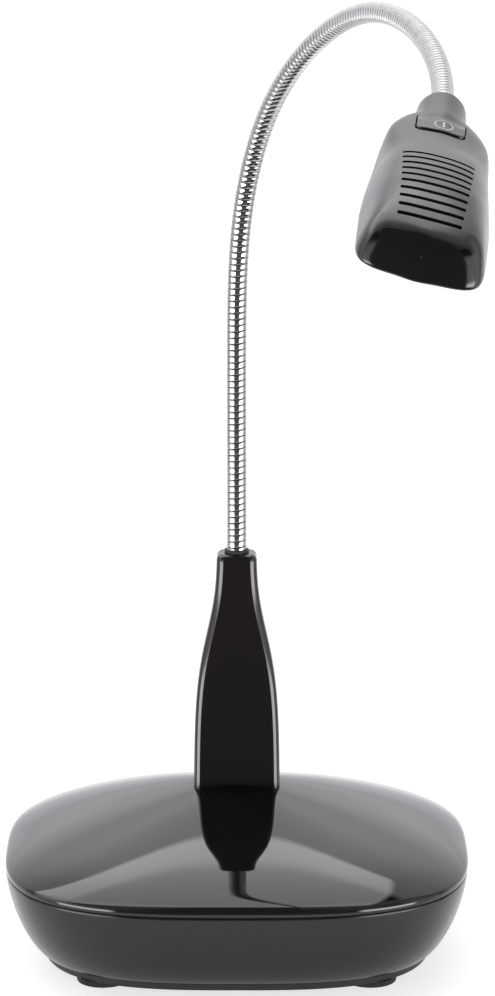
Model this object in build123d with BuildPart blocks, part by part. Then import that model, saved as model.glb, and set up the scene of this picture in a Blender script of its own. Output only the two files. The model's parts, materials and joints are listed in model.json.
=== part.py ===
"""Battery table lamp with a coil gooseneck: domed base, flat post, bending neck, LED head.

Millimetres, +Z up, the floor is Z = 0 and the front of the base faces -Y. The sizes below
are measured from the middle of the base. Each piece is moved to the frame as it is saved,
so that the origin is under the middle of the whole lamp.
"""

import os
from math import cos, exp, pi, sin

from build123d import *

os.makedirs("parts", exist_ok=True)

# ---------------------------------------------------------------- sizes
TO_FRAME = Location((0, 130.21, 0))
CLEAR = 0.1                        # round a piece that passes through another
GRIP = 0.02                        # round a piece that is clamped

# base shells
BASE_A, BASE_B = 93.4, 85.5        # half width and half depth of the base outline
OUTLINE_POWER = 3.0                # how square the base outline is
RIM_TOP, RIM_BOTTOM = 40.0, 37.2   # the thin trim band between dome and bowl
RIM_PROUD, RIM_WIDE = 0.3, 3.0
DOME_RISE = 28.7
DOME_P, DOME_Q = 1.2, 1.293        # dome profile: r^p + (z / rise)^q = 1
BOWL_BOTTOM, BOWL_INSET, BOWL_POWER = 5.1, 14.7, 1.5
PLATE_BOTTOM = 2.5
PLATE_A, PLATE_B = 78.2, 70.3
FLOOR_A, FLOOR_B = 62.0, 54.0      # opening in the bowl floor
SHELL = 2.2
FOOT_X, FOOT_Y, FOOT_R, FOOT_SOFT = 53.0, 50.5, 10.5, 0.8

# screws: all are pan heads with a cross recess
SCREW_R, SCREW_HOLE_R, HOLE_SPARE = 1.4, 1.45, 1.0
PAN_R, PAN_TALL = 2.6, 1.6
RECESS_LONG, RECESS_WIDE, RECESS_DEEP = 3.4, 0.7, 0.5
PLATE_SHANK, COVER_SHANK, FLANGE_SHANK, POST_SHANK, BALLAST_SHANK = 9.0, 17.0, 9.0, 10.0, 11.0
HEAD_SHANK = 12.0
COVER_SCREW_AT = (62.0, 48.0)
PLATE_SCREW_X, PLATE_SCREW_Y = 69.5, 61.5
FLANGE_SCREW_AT = (25.5, 12.5)
POST_SCREW_AT = (11.5, 3.8)
PILLAR_SEAT, PILLAR_R, PILLAR_BORE_R = 30.0, 4.6, 3.1
COVER_BOSS_R, FLANGE_BOSS_R, PLATE_BOSS_R, PLATE_BOSS_TALL = 3.6, 3.4, 3.2, 10.0
POST_BOSS_R, POST_BOSS_TALL = 2.5, 12.0

# battery bay
CELL_R, CELL_LONG = 13.1, 50.0     # C size
CELL_NIB_R, CELL_NIB_LONG = 3.4, 1.5
CELL_GAP, ROW_GAP, CELL_Z = 0.3, 0.7, 18.6
CASE_X, CASE_Y, CASE_WALL, CASE_TOP = 112.0, 56.0, 1.8, 34.0
DIVIDER_X, DIVIDER_THICK = 100.0, 0.8
EAR_X, EAR_Y, EAR_R = 50.0, 33.5, 4.0
CONTACT_THICK, CONTACT_Y, CONTACT_Z, CONTACT_NIB_R = 0.5, 15.0, 16.0, 3.0
SPRING_R, SPRING_BORE_R, SPRING_WIRE, SPRING_TURNS = 5.0, 4.1, 0.8, 3
DOOR_X, DOOR_Y, DOOR_THICK, DOOR_GAP = 108.0, 52.0, 2.0, 0.3
PIN_R, PIN_REACH, PIN_CLEAR = 0.7, 1.6, 0.06
GRIP_SLOT, GRIP_IN = (16.0, 4.0, 0.8), 5.0
BALLAST, BALLAST_CORNER = (112.0, 84.0, 5.0), 6.0
BOARD_Y, BOARD_LIFT, BOARD = 46.0, 3.0, (54.0, 9.0, 1.6)

# post
POST_FOOT_Z, POST_TOP_Z = 53.0, 162.6
POST_FOOT_HALF, POST_TOP_HALF = 17.46, 7.97
POST_FOOT_DEEP, POST_TOP_DEEP = 8.0, 7.2
POST_FOOT_CORNER, POST_TOP_CORNER = 3.2, 3.7
POST_WAIST_Z, POST_WAIST_LONG, POST_WAIST_POWER = 147.1, 13.64, 3.33
POST_LEVELS = 17
POST_TOP_EDGE = 2.4
POST_WALL, POST_ROOF = 2.0, 3.2
FLANGE = (62.0, 34.0, 3.0)
FLANGE_Z = POST_FOOT_Z - FLANGE[2]
FLANGE_BORE_R = 4.0

# neck: foot, the places where it bends, and the head; a line runs smoothly through them
NECK_R, NECK_BORE = 4.0, 2.0
BALL_R = 3.9
SEAT_GAP = 0.3                     # between each ball end and its cup
WIRE_R, WIRE_SHORT = 1.7, 0.7      # the two-core flex inside
WIRE_CLEAR = 0.5                   # between a length of flex and the ball end next to it
CLAMP_R, CLAMP_TALL = 5.05, 8.0
BUSHING_R, BUSHING_TALL, BUSHING_EDGE = 4.9, 1.4, 0.5
NECK_FOOT = (0, 0, 148.0)
BENDS = [
    (0, 0, 192.5), (0, -2.0, 247.5), (2.5, -10.0, 302.0), (13.5, -28.5, 346.5),
    (32.0, -61.0, 377.5), (50.5, -105.0, 392.5), (64.5, -153.5, 392.0), (71.0, -207.5, 382.5),
]

# head frame: F runs forward along the head, V across it, N out of its top
HEAD_AT = (69.6, -240.0, 375.1)
HEAD_F = (-0.1016, -0.9670, -0.2334)
HEAD_N = (0.2305, -0.2512, 0.9401)
NECK_IN_HEAD = 8.0
HEAD_WALL = 1.8
HEAD_BOTTOM = -12.5                # underside of the head
# distance along, half width, top, waist, bottom, power of the top, power of the bottom
HEAD_SECTIONS = [
    (0.0, 8.1, 8.1, 0.0, -8.0, 2.0, 2.0), (3.0, 8.5, 7.7, -0.6, -8.5, 2.1, 2.15),
    (6.0, 8.9, 7.3, -1.1, -9.0, 2.15, 2.35), (9.0, 9.5, 6.9, -1.4, -9.5, 2.2, 2.55),
    (12.0, 11.3, 6.5, -1.75, -10.0, 2.2, 2.8), (16.0, 14.4, 6.35, -2.1, -10.6, 2.4, 3.1),
    (22.0, 16.8, 6.5, -2.6, -11.3, 2.5, 3.5), (30.0, 18.65, 6.6, -3.2, -12.0, 2.35, 4.1),
    (40.0, 19.65, 7.1, -3.55, -12.4, 2.3, 4.7), (52.0, 20.6, 8.7, -3.75, HEAD_BOTTOM, 2.3, 5.0),
    (64.0, 21.2, 9.5, -3.85, HEAD_BOTTOM, 2.3, 5.0), (76.0, 21.5, 9.35, -3.9, HEAD_BOTTOM, 2.45, 4.8),
    (88.0, 21.3, 7.7, -3.95, HEAD_BOTTOM, 2.8, 4.4), (98.0, 21.1, 5.3, -4.0, HEAD_BOTTOM, 3.2, 4.1),
    (108.0, 20.3, 1.9, -5.3, -12.2, 2.9, 3.8), (118.0, 17.3, -2.6, -7.5, -12.1, 2.6, 4.2),
]
INNER_FROM_U = HEAD_SECTIONS[1][0]  # the hollow starts here
HEAD_SPLIT = -5.0                  # where the two shells meet
FACET_AT, FACET_DIR = (106.65, 2.0), (0.933, 0.36)
COVER_THICK = 1.8
SLOTS, SLOT_FIRST, SLOT_STEP, SLOT_WIDE = 10, 56.3, 4.68, 1.2
SLOT_HALF, SLOT_TAPER = 12.3, 0.17
SLOT_FLOOR = 2.5                   # the cutters for slots and button reach down to here
BUTTON_U, BUTTON_V, BUTTON_GAP = (19.6, 35.6), 8.2, 0.4
BUTTON_LOW, BUTTON_TOP, BUTTON_CORNER = 5.0, 7.9, 2.0
BUTTON_MID = (BUTTON_U[0] + BUTTON_U[1]) / 2
STEM_R, STEM_TIP = 2.4, 3.0
BOSS_U, BOSS_V, BOSS_R = 42.5, 9.5, 2.6
BOSS_SEAT, BOSS_SINK_R = -10.8, 2.8
COLLAR_R, COLLAR_LONG = 7.6, 4.0
NUT_R, NUT_LONG = 5.2, 2.6
LENS_U, LENS_V, LENS_LOW, LENS_THICK = (50.0, 104.0), 13.0, -12.4, 2.0
LENS_MID = (LENS_U[0] + LENS_U[1]) / 2
TRAY_LONG, TRAY_WIDE, TRAY_TALL, TRAY_WALL = 54.0, 25.6, 4.6, 2.0
LED_BOARD_THICK, HEAT_PLATE_THICK, HEAT_PLATE_LONG = 1.2, 1.0, 52.0
LED, LED_PITCH, LED_V = (5.0, 5.0, 1.2), 12.0, 5.0
SWITCH_BOARD, SWITCH_BODY = (15.0, 19.0, 1.4), (7.4, 7.4, 3.2)
SWITCH_LOW, PLUNGER_R, PLUNGER_TALL = -3.6, 1.5, 0.9
COIL_R, COIL_WIRE_R, COIL_TURNS, COIL_LOW = 3.2, 0.3, 4, 1.3
COIL_STEP = (BUTTON_LOW - COIL_WIRE_R - COIL_LOW) / (COIL_TURNS - 1)

UP = (Align.CENTER, Align.CENTER, Align.MIN)


# ---------------------------------------------------------------- helpers
def vec(point):
    return Vector(*point)


F, N = vec(HEAD_F).normalized(), vec(HEAD_N)
N = (N - F * N.dot(F)).normalized()
V = N.cross(F)
HEAD = Plane(origin=HEAD_AT, x_dir=F, z_dir=N)


def head_point(u, v, w):
    return vec(HEAD_AT) + F * u + V * v + N * w


def at_head(*points):
    """Places given in the head frame."""
    return Locations(*[Plane(head_point(*p), x_dir=F, z_dir=N).location for p in points])


def along_head(u):
    """A place on the head's axis, facing forward."""
    return Locations(Plane(origin=head_point(u, 0, 0), z_dir=F).location)


def four(x, y, z=0):
    return [(a * x, b * y, z) for a in (-1, 1) for b in (-1, 1)]


def outline(a, b, count=40):
    """Points of a rounded-square outline with half sizes a and b."""
    points = []
    for k in range(count):
        c, s = cos(2 * pi * k / count), sin(2 * pi * k / count)
        r = (abs(c / a) ** OUTLINE_POWER + abs(s / b) ** OUTLINE_POWER) ** (-1 / OUTLINE_POWER)
        points.append((r * c, r * s))
    return points


def squircle_loft(levels):
    with BuildPart() as body:
        for a, b, z in levels:
            with BuildSketch(Plane.XY.offset(z)):
                with BuildLine():
                    Spline(*outline(a, b), periodic=True)
                make_face()
        loft()
    return body.part


def squircle_prism(a, b, low, high):
    with BuildPart() as body:
        with BuildSketch(Plane.XY.offset(low)):
            with BuildLine():
                Spline(*outline(a, b), periodic=True)
            make_face()
        extrude(amount=high - low)
    return body.part


def dome_levels(inset, wall):
    levels = []
    for t in (0.0, 0.05, 0.13, 0.25, 0.4, 0.55, 0.7, 0.83, 0.93, 0.985):
        r = (1 - t ** DOME_Q) ** (1 / DOME_P)
        z = RIM_TOP + (DOME_RISE - wall) * t
        levels.append(((BASE_A - inset) * r, (BASE_B - inset) * r, z))
    return levels


def bowl_levels(wall):
    low = BOWL_BOTTOM + wall
    levels = []
    for k in (1.0, 0.93, 0.84, 0.73, 0.6, 0.45, 0.3, 0.15, 0.0):
        turn = k * pi / 2
        inset = BOWL_INSET * (1 - max(cos(turn), 0) ** (2 / BOWL_POWER)) + wall
        z = RIM_BOTTOM - (RIM_BOTTOM - low) * sin(turn) ** (2 / BOWL_POWER)
        levels.append((BASE_A - inset, BASE_B - inset, z))
    return levels


def post_loft(wall, low, high):
    """The post's outline from low to high, drawn in by wall."""
    with BuildPart() as body:
        for k in range(POST_LEVELS):
            z = low + (high - low) * k / (POST_LEVELS - 1)
            foot = (1 + exp((z - POST_WAIST_Z) / POST_WAIST_LONG)) ** -POST_WAIST_POWER
            half_x = POST_TOP_HALF + (POST_FOOT_HALF - POST_TOP_HALF) * foot - wall
            half_y = POST_TOP_DEEP + (POST_FOOT_DEEP - POST_TOP_DEEP) * foot - wall
            corner = POST_TOP_CORNER + (POST_FOOT_CORNER - POST_TOP_CORNER) * foot
            with BuildSketch(Plane.XY.offset(z)):
                RectangleRounded(2 * half_x, 2 * half_y, max(corner - wall, 0.8))
        loft()
    return body.part


def head_ring(half, top, waist, bottom, top_power, bottom_power, count=44):
    points = []
    for k in range(count):
        c, s = cos(2 * pi * k / count), sin(2 * pi * k / count)
        tall, power = (top - waist, top_power) if s >= 0 else (waist - bottom, bottom_power)
        r = (abs(c / half) ** power + abs(s / tall) ** power) ** (-1 / power)
        points.append((r * c, waist + r * s))
    return points


def head_loft(wall, rows):
    with BuildPart() as body:
        for u, half, top, waist, bottom, top_power, bottom_power in rows:
            with BuildSketch(Plane(origin=head_point(u, 0, 0), x_dir=V, z_dir=F)):
                with BuildLine():
                    Spline(
                        *head_ring(half - wall, top - wall, waist, bottom + wall,
                                   top_power, bottom_power),
                        periodic=True,
                    )
                make_face()
        loft()
    return body.part


def button_block(gap, low, tall):
    """The button's block, or with a gap its hole, with two rounded front corners."""
    with BuildPart() as block:
        with at_head((BUTTON_MID, 0, low)):
            Box(BUTTON_U[1] - BUTTON_U[0] + 2 * gap, 2 * (BUTTON_V + gap), tall, align=UP)
        uprights = block.edges().filter_by(lambda edge: abs((edge % 0).dot(N)) > 0.99)
        front = sorted(uprights, key=lambda edge: edge.center().dot(F))[-2:]
        fillet(front, BUTTON_CORNER + gap)
    return block.part


with BuildLine() as neck_line:
    Spline(
        NECK_FOOT, (0, 0, POST_TOP_Z + BUSHING_TALL), *BENDS, HEAD_AT,
        head_point(NECK_IN_HEAD, 0, 0), tangents=[(0, 0, 1), F],
    )
NECK = neck_line.edge()


def neck_path(start, end):
    """A stretch of the centre line between two of its parameters."""
    ends = [NECK.tangent_at(start), NECK.tangent_at(end)]
    steps = [start + (end - start) * k / 4 for k in range(5)]
    with BuildLine() as line:
        Spline(*[NECK.position_at(t) for t in steps], tangents=ends)
    return line.edge()


def neck_section(start, end, cup, ball):
    path = neck_path(start, end)
    with BuildPart() as body:
        with BuildSketch(Plane(origin=path @ 0, z_dir=path % 0)):
            Circle(NECK_R)
            Circle(NECK_BORE, mode=Mode.SUBTRACT)
        sweep(path=path)
        if ball:
            with Locations(Plane(origin=path @ 1, z_dir=path % 1).location):
                Sphere(BALL_R, arc_size1=0, arc_size2=90, align=UP)
                Cylinder(NECK_BORE, 2 * NECK_R, align=UP, mode=Mode.SUBTRACT)
        if cup:
            with Locations(Plane(origin=path @ 0, z_dir=path % 0).location):
                Sphere(BALL_R + SEAT_GAP, mode=Mode.SUBTRACT)
    return body.part


def wire_section(start, end):
    path = neck_path(start, end)
    with BuildPart() as body:
        with BuildSketch(Plane(origin=path @ 0, z_dir=path % 0)):
            Circle(WIRE_R)
        sweep(path=path)
    return body.part


def pan_screw(shank):
    """Head down, its seat at the place it is put."""
    with Locations((0, 0, -PAN_TALL)):
        Cylinder(PAN_R, PAN_TALL, align=UP)
        Cylinder(SCREW_R, PAN_TALL + shank, align=UP)
        Box(RECESS_LONG, RECESS_WIDE, RECESS_DEEP, align=UP, mode=Mode.SUBTRACT)
        Box(RECESS_WIDE, RECESS_LONG, RECESS_DEEP, align=UP, mode=Mode.SUBTRACT)


def pan_screws(places, shank):
    with BuildPart() as body:
        with Locations(*places):
            pan_screw(shank)
    return body.part


def screw_holes(places, shank):
    """Holes up from where the screws seat."""
    with Locations(*places):
        Cylinder(SCREW_HOLE_R, shank + HOLE_SPARE, align=UP, mode=Mode.SUBTRACT)


# ---------------------------------------------------------------- base shells
FLANGE_SCREWS = four(*FLANGE_SCREW_AT, FLANGE_Z)
POST_SCREWS = four(*POST_SCREW_AT, FLANGE_Z)
COVER_SCREWS = four(*COVER_SCREW_AT, PILLAR_SEAT)
PLATE_SCREWS = [(x, 0, PLATE_BOTTOM) for x in (-PLATE_SCREW_X, PLATE_SCREW_X)]
PLATE_SCREWS += [(0, y, PLATE_BOTTOM) for y in (-PLATE_SCREW_Y, PLATE_SCREW_Y)]

dome_outer = squircle_loft(dome_levels(RIM_PROUD, 0))

with BuildPart() as dome_bosses:
    with Locations(*four(*FLANGE_SCREW_AT, POST_FOOT_Z)):
        Cylinder(FLANGE_BOSS_R, DOME_RISE, align=UP)
    with Locations(*four(*COVER_SCREW_AT, RIM_TOP)):
        Cylinder(COVER_BOSS_R, DOME_RISE, align=UP)
    add(dome_outer, mode=Mode.INTERSECT)

with BuildPart() as base_cover:
    add(dome_outer)
    add(squircle_loft(dome_levels(RIM_PROUD + SHELL, SHELL)), mode=Mode.SUBTRACT)
    add(dome_bosses.part)
    with BuildSketch(Plane.XY.offset(POST_FOOT_Z)):
        RectangleRounded(2 * (POST_FOOT_HALF + CLEAR), 2 * (POST_FOOT_DEEP + CLEAR),
                         POST_FOOT_CORNER)
    extrude(amount=DOME_RISE, mode=Mode.SUBTRACT)
    screw_holes(FLANGE_SCREWS, FLANGE_SHANK)
    screw_holes(COVER_SCREWS, COVER_SHANK)
base_cover.part.label = "base_cover"
export_step(base_cover.part.moved(TO_FRAME), "parts/base_cover.step")

with BuildPart() as rim_band:
    add(squircle_prism(BASE_A, BASE_B, RIM_BOTTOM, RIM_TOP))
    add(squircle_prism(BASE_A - RIM_WIDE, BASE_B - RIM_WIDE, RIM_BOTTOM, RIM_TOP),
        mode=Mode.SUBTRACT)
rim_band.part.label = "rim_band"
export_step(rim_band.part.moved(TO_FRAME), "parts/rim_band.step")

with BuildPart() as base_bowl:
    add(squircle_loft(bowl_levels(0)))
    add(squircle_loft(bowl_levels(SHELL)), mode=Mode.SUBTRACT)
    with Locations(*four(*COVER_SCREW_AT, BOWL_BOTTOM + SHELL / 2)):
        Cylinder(PILLAR_R, RIM_TOP - BOWL_BOTTOM - SHELL / 2, align=UP)
    with Locations(*[(x, y, BOWL_BOTTOM + SHELL / 2) for x, y, _ in PLATE_SCREWS]):
        Cylinder(PLATE_BOSS_R, PLATE_BOSS_TALL, align=UP)
    add(squircle_prism(FLOOR_A, FLOOR_B, BOWL_BOTTOM, BOWL_BOTTOM + SHELL), mode=Mode.SUBTRACT)
    with Locations(*four(*COVER_SCREW_AT, BOWL_BOTTOM)):
        Cylinder(PILLAR_BORE_R, PILLAR_SEAT - BOWL_BOTTOM, align=UP, mode=Mode.SUBTRACT)
    screw_holes(PLATE_SCREWS, PLATE_SHANK)
    screw_holes(COVER_SCREWS, COVER_SHANK)
base_bowl.part.label = "base_bowl"
export_step(base_bowl.part.moved(TO_FRAME), "parts/base_bowl.step")

DOOR_AXIS = (0, DOOR_Y / 2 - DOOR_THICK / 2, PLATE_BOTTOM + DOOR_THICK / 2)
PIN_LONG = DOOR_X + 2 * PIN_REACH
with BuildPart() as bottom_plate:
    add(squircle_prism(PLATE_A, PLATE_B, PLATE_BOTTOM, BOWL_BOTTOM))
    with Locations((0, 0, PLATE_BOTTOM)):
        Box(DOOR_X + 2 * DOOR_GAP, DOOR_Y + 2 * DOOR_GAP, BOWL_BOTTOM, mode=Mode.SUBTRACT)
    with Locations(DOOR_AXIS):
        Cylinder(PIN_R + PIN_CLEAR, PIN_LONG + 2 * CLEAR, rotation=(0, 90, 0), mode=Mode.SUBTRACT)
    screw_holes(PLATE_SCREWS, PLATE_SHANK)
bottom_plate.part.label = "bottom_plate"
export_step(bottom_plate.part.moved(TO_FRAME), "parts/bottom_plate.step")

with BuildPart() as battery_door:
    with Locations((0, 0, PLATE_BOTTOM)):
        Box(DOOR_X, DOOR_Y, DOOR_THICK, align=UP)
    hinge_edges = battery_door.edges().filter_by(Axis.X).group_by(Axis.Y)[-1]
    fillet(hinge_edges, DOOR_THICK / 2 - 0.01)
    with Locations(DOOR_AXIS):
        Cylinder(PIN_R, PIN_LONG, rotation=(0, 90, 0))
    with Locations((0, -DOOR_Y / 2 + GRIP_IN, PLATE_BOTTOM)):
        Box(*GRIP_SLOT, align=UP, mode=Mode.SUBTRACT)
battery_door.part.label = "battery_door"
export_step(battery_door.part.moved(TO_FRAME), "parts/battery_door.step")

with BuildPart() as feet:
    with Locations(*four(FOOT_X, FOOT_Y)):
        Cylinder(FOOT_R, PLATE_BOTTOM, align=UP)
    fillet(feet.edges().group_by(Axis.Z)[0], FOOT_SOFT)
feet.part.label = "feet"
export_step(feet.part.moved(TO_FRAME), "parts/feet.step")

with BuildPart() as plate_screws:
    add(pan_screws(PLATE_SCREWS, PLATE_SHANK))
plate_screws.part.label = "plate_screws"
export_step(plate_screws.part.moved(TO_FRAME), "parts/plate_screws.step")

with BuildPart() as cover_screws:
    add(pan_screws(COVER_SCREWS, COVER_SHANK))
cover_screws.part.label = "cover_screws"
export_step(cover_screws.part.moved(TO_FRAME), "parts/cover_screws.step")

# ---------------------------------------------------------------- battery case
CASE_FLOOR = BOWL_BOTTOM           # the case stands on the bottom plate
CASE_TALL = CASE_TOP - CASE_FLOOR
BALLAST_SEAT = CASE_TOP + BALLAST[2]
with BuildPart() as battery_case:
    with Locations((0, 0, CASE_FLOOR)):
        Box(CASE_X + 2 * CASE_WALL, CASE_Y + 2 * CASE_WALL, CASE_TALL, align=UP)
    with Locations(*four(EAR_X, EAR_Y, CASE_FLOOR)):
        Cylinder(EAR_R, CASE_TALL, align=UP)
    with Locations((0, 0, CASE_FLOOR)):
        Box(CASE_X, CASE_Y, CASE_TALL - CASE_WALL, align=UP, mode=Mode.SUBTRACT)
        Box(DIVIDER_X, DIVIDER_THICK, CASE_TALL - CASE_WALL / 2, align=UP)
    with Locations(*four(EAR_X, EAR_Y, BALLAST_SEAT - BALLAST_SHANK - HOLE_SPARE)):
        Cylinder(SCREW_HOLE_R, BALLAST_SHANK + HOLE_SPARE, align=UP, mode=Mode.SUBTRACT)
battery_case.part.label = "battery_case"
export_step(battery_case.part.moved(TO_FRAME), "parts/battery_case.step")

ROW_Y = CELL_R + ROW_GAP
ROWS = [(-ROW_Y, 1), (ROW_Y, -1)]  # the two rows face opposite ways
with BuildPart() as cells:
    for y, way in ROWS:
        for x in (-CELL_LONG / 2 - CELL_GAP, CELL_LONG / 2 + CELL_GAP):
            with Locations((x - way * CELL_NIB_LONG / 2, y, CELL_Z)):
                Cylinder(CELL_R, CELL_LONG - CELL_NIB_LONG, rotation=(0, 90, 0))
            with Locations((x + way * (CELL_LONG - CELL_NIB_LONG) / 2, y, CELL_Z)):
                Cylinder(CELL_NIB_R, CELL_NIB_LONG, rotation=(0, 90, 0))
cells.part.label = "cells"
export_step(cells.part.moved(TO_FRAME), "parts/cells.step")

ROW_END = CELL_LONG + CELL_GAP     # how far the outer cells reach from the middle
SPAN = CASE_X / 2 - CONTACT_THICK - ROW_END
with BuildPart() as contact_plates:
    for y, way in ROWS:
        with Locations((way * (CASE_X - CONTACT_THICK) / 2, y, CELL_Z)):
            Box(CONTACT_THICK, CONTACT_Y, CONTACT_Z)
        with Locations((way * (CASE_X / 2 - (SPAN + CONTACT_THICK) / 2), y, CELL_Z)):
            Cylinder(CONTACT_NIB_R, SPAN + CONTACT_THICK - CLEAR, rotation=(0, 90, 0))
contact_plates.part.label = "contact_plates"
export_step(contact_plates.part.moved(TO_FRAME), "parts/contact_plates.step")

RING_STEP = (SPAN - SPRING_WIRE) / SPRING_TURNS
with BuildPart() as contact_springs:
    for y, way in ROWS:
        with Locations((-way * (CASE_X - CONTACT_THICK) / 2, y, CELL_Z)):
            Box(CONTACT_THICK, CONTACT_Y, CONTACT_Z)
        first = ROW_END + SPRING_WIRE / 2
        rings = [(-way * (first + RING_STEP * k), y, CELL_Z) for k in range(SPRING_TURNS + 1)]
        with Locations(*rings):
            Cylinder(SPRING_R, SPRING_WIRE, rotation=(0, 90, 0))
        with Locations((-way * (ROW_END + SPAN / 2), y, CELL_Z)):
            Cylinder(SPRING_BORE_R, SPAN, rotation=(0, 90, 0), mode=Mode.SUBTRACT)
        strip_z = CELL_Z + (SPRING_R + SPRING_BORE_R) / 2
        with Locations((-way * (ROW_END + SPAN / 2 + SPRING_WIRE / 4), y, strip_z)):
            Box(SPAN - SPRING_WIRE / 2, SPRING_WIRE, SPRING_WIRE - CLEAR)
contact_springs.part.label = "contact_springs"
export_step(contact_springs.part.moved(TO_FRAME), "parts/contact_springs.step")

with BuildPart() as ballast:
    with Locations((0, 0, CASE_TOP)):
        Box(*BALLAST, align=UP)
    fillet(ballast.edges().filter_by(Axis.Z), BALLAST_CORNER)
    with Locations(*four(EAR_X, EAR_Y, CASE_TOP)):
        Cylinder(SCREW_HOLE_R, BALLAST[2], align=UP, mode=Mode.SUBTRACT)
ballast.part.label = "ballast"
export_step(ballast.part.moved(TO_FRAME), "parts/ballast.step")

with BuildPart() as ballast_screws:
    with Locations(*four(EAR_X, EAR_Y, BALLAST_SEAT)):
        Cylinder(PAN_R, PAN_TALL, align=UP)
    with Locations(*four(EAR_X, EAR_Y, BALLAST_SEAT - BALLAST_SHANK)):
        Cylinder(SCREW_R, BALLAST_SHANK + PAN_TALL / 2, align=UP)
ballast_screws.part.label = "ballast_screws"
export_step(ballast_screws.part.moved(TO_FRAME), "parts/ballast_screws.step")

BOARD_Z = BOWL_BOTTOM + BOARD_LIFT
with BuildPart() as driver_board:
    with Locations((0, BOARD_Y, BOARD_Z)):
        Box(*BOARD, align=UP)
    with Locations((-14, BOARD_Y, BOARD_Z + BOARD[2])):
        Box(8, 6, 5, align=UP)
    with Locations((2, BOARD_Y, BOARD_Z + BOARD[2])):
        Box(6, 6, 1.6, align=UP)
    with Locations((18, BOARD_Y, BOARD_Z + BOARD[2])):
        Cylinder(3.2, 9, align=UP)
    with Locations((-22, BOARD_Y, BOWL_BOTTOM), (25, BOARD_Y, BOWL_BOTTOM)):
        Cylinder(1.8, BOARD_LIFT, align=UP)
driver_board.part.label = "driver_board"
export_step(driver_board.part.moved(TO_FRAME), "parts/driver_board.step")

# ---------------------------------------------------------------- post
POST_ROOF_Z = POST_TOP_Z - POST_ROOF
with BuildPart() as post_shell:
    add(post_loft(0, POST_FOOT_Z, POST_TOP_Z))
    fillet(post_shell.faces().sort_by(Axis.Z)[-1].edges(), POST_TOP_EDGE)
    add(post_loft(POST_WALL, POST_FOOT_Z - 1, POST_ROOF_Z), mode=Mode.SUBTRACT)
    with Locations(*four(*POST_SCREW_AT, POST_FOOT_Z)):
        Cylinder(POST_BOSS_R, POST_BOSS_TALL, align=UP)
    with Locations((0, 0, POST_ROOF_Z - 1)):
        Cylinder(NECK_R + CLEAR, POST_ROOF + 2, align=UP, mode=Mode.SUBTRACT)
    screw_holes(POST_SCREWS, POST_SHANK)

with BuildPart() as post_front:
    add(post_shell.part)
    split(bisect_by=Plane.XZ, keep=Keep.TOP)
post_front.part.label = "post_front"
export_step(post_front.part.moved(TO_FRAME), "parts/post_front.step")

with BuildPart() as post_rear:
    add(post_shell.part)
    split(bisect_by=Plane.XZ, keep=Keep.BOTTOM)
post_rear.part.label = "post_rear"
export_step(post_rear.part.moved(TO_FRAME), "parts/post_rear.step")

with BuildPart() as post_flange:
    with Locations((0, 0, FLANGE_Z)):
        Box(*FLANGE, align=UP)
        Cylinder(FLANGE_BORE_R, FLANGE[2], align=UP, mode=Mode.SUBTRACT)
    screw_holes(FLANGE_SCREWS, FLANGE_SHANK)
    screw_holes(POST_SCREWS, POST_SHANK)
post_flange.part.label = "post_flange"
export_step(post_flange.part.moved(TO_FRAME), "parts/post_flange.step")

with BuildPart() as flange_screws:
    add(pan_screws(FLANGE_SCREWS, FLANGE_SHANK))
flange_screws.part.label = "flange_screws"
export_step(flange_screws.part.moved(TO_FRAME), "parts/flange_screws.step")

with BuildPart() as post_screws:
    add(pan_screws(POST_SCREWS, POST_SHANK))
post_screws.part.label = "post_screws"
export_step(post_screws.part.moved(TO_FRAME), "parts/post_screws.step")

with BuildPart() as neck_clamp:
    with Locations((0, 0, POST_ROOF_Z - CLAMP_TALL)):
        Cylinder(CLAMP_R, CLAMP_TALL, align=UP)
        Cylinder(NECK_R + GRIP, CLAMP_TALL, align=UP, mode=Mode.SUBTRACT)
neck_clamp.part.label = "neck_clamp"
export_step(neck_clamp.part.moved(TO_FRAME), "parts/neck_clamp.step")

with BuildPart() as neck_bushing:
    with Locations((0, 0, POST_TOP_Z)):
        Cylinder(BUSHING_R, BUSHING_TALL, align=UP)
        Cylinder(NECK_R + GRIP, BUSHING_TALL, align=UP, mode=Mode.SUBTRACT)
    top_edges = neck_bushing.edges().group_by(Axis.Z)[-1]
    fillet(top_edges.sort_by(SortBy.RADIUS)[-1], BUSHING_EDGE)
neck_bushing.part.label = "neck_bushing"
export_step(neck_bushing.part.moved(TO_FRAME), "parts/neck_bushing.step")

# ---------------------------------------------------------------- neck
stations = [0.0] + [NECK.param_at_point(vec(point)) for point in BENDS] + [1.0]
short = WIRE_SHORT / NECK.length
past_ball = (BALL_R + WIRE_CLEAR) / NECK.length
for index in range(len(BENDS) + 1):
    start, end = stations[index], stations[index + 1]
    with BuildPart() as section:
        add(neck_section(start, end, cup=index > 0, ball=index < len(BENDS)))
    section.part.label = f"neck_{index}"
    export_step(section.part.moved(TO_FRAME), f"parts/neck_{index}.step")
    with BuildPart() as wire:
        add(wire_section(start + (past_ball if index else short), end - short))
    wire.part.label = f"wire_{index}"
    export_step(wire.part.moved(TO_FRAME), f"parts/wire_{index}.step")

# ---------------------------------------------------------------- head
facet_plane = Plane(
    origin=head_point(FACET_AT[0], 0, FACET_AT[1]), z_dir=F * FACET_DIR[0] + N * FACET_DIR[1]
)
head_outer = head_loft(0, HEAD_SECTIONS)
HEAD_HOLES = [(BOSS_U, -BOSS_V, BOSS_SEAT), (BOSS_U, BOSS_V, BOSS_SEAT)]

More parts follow.
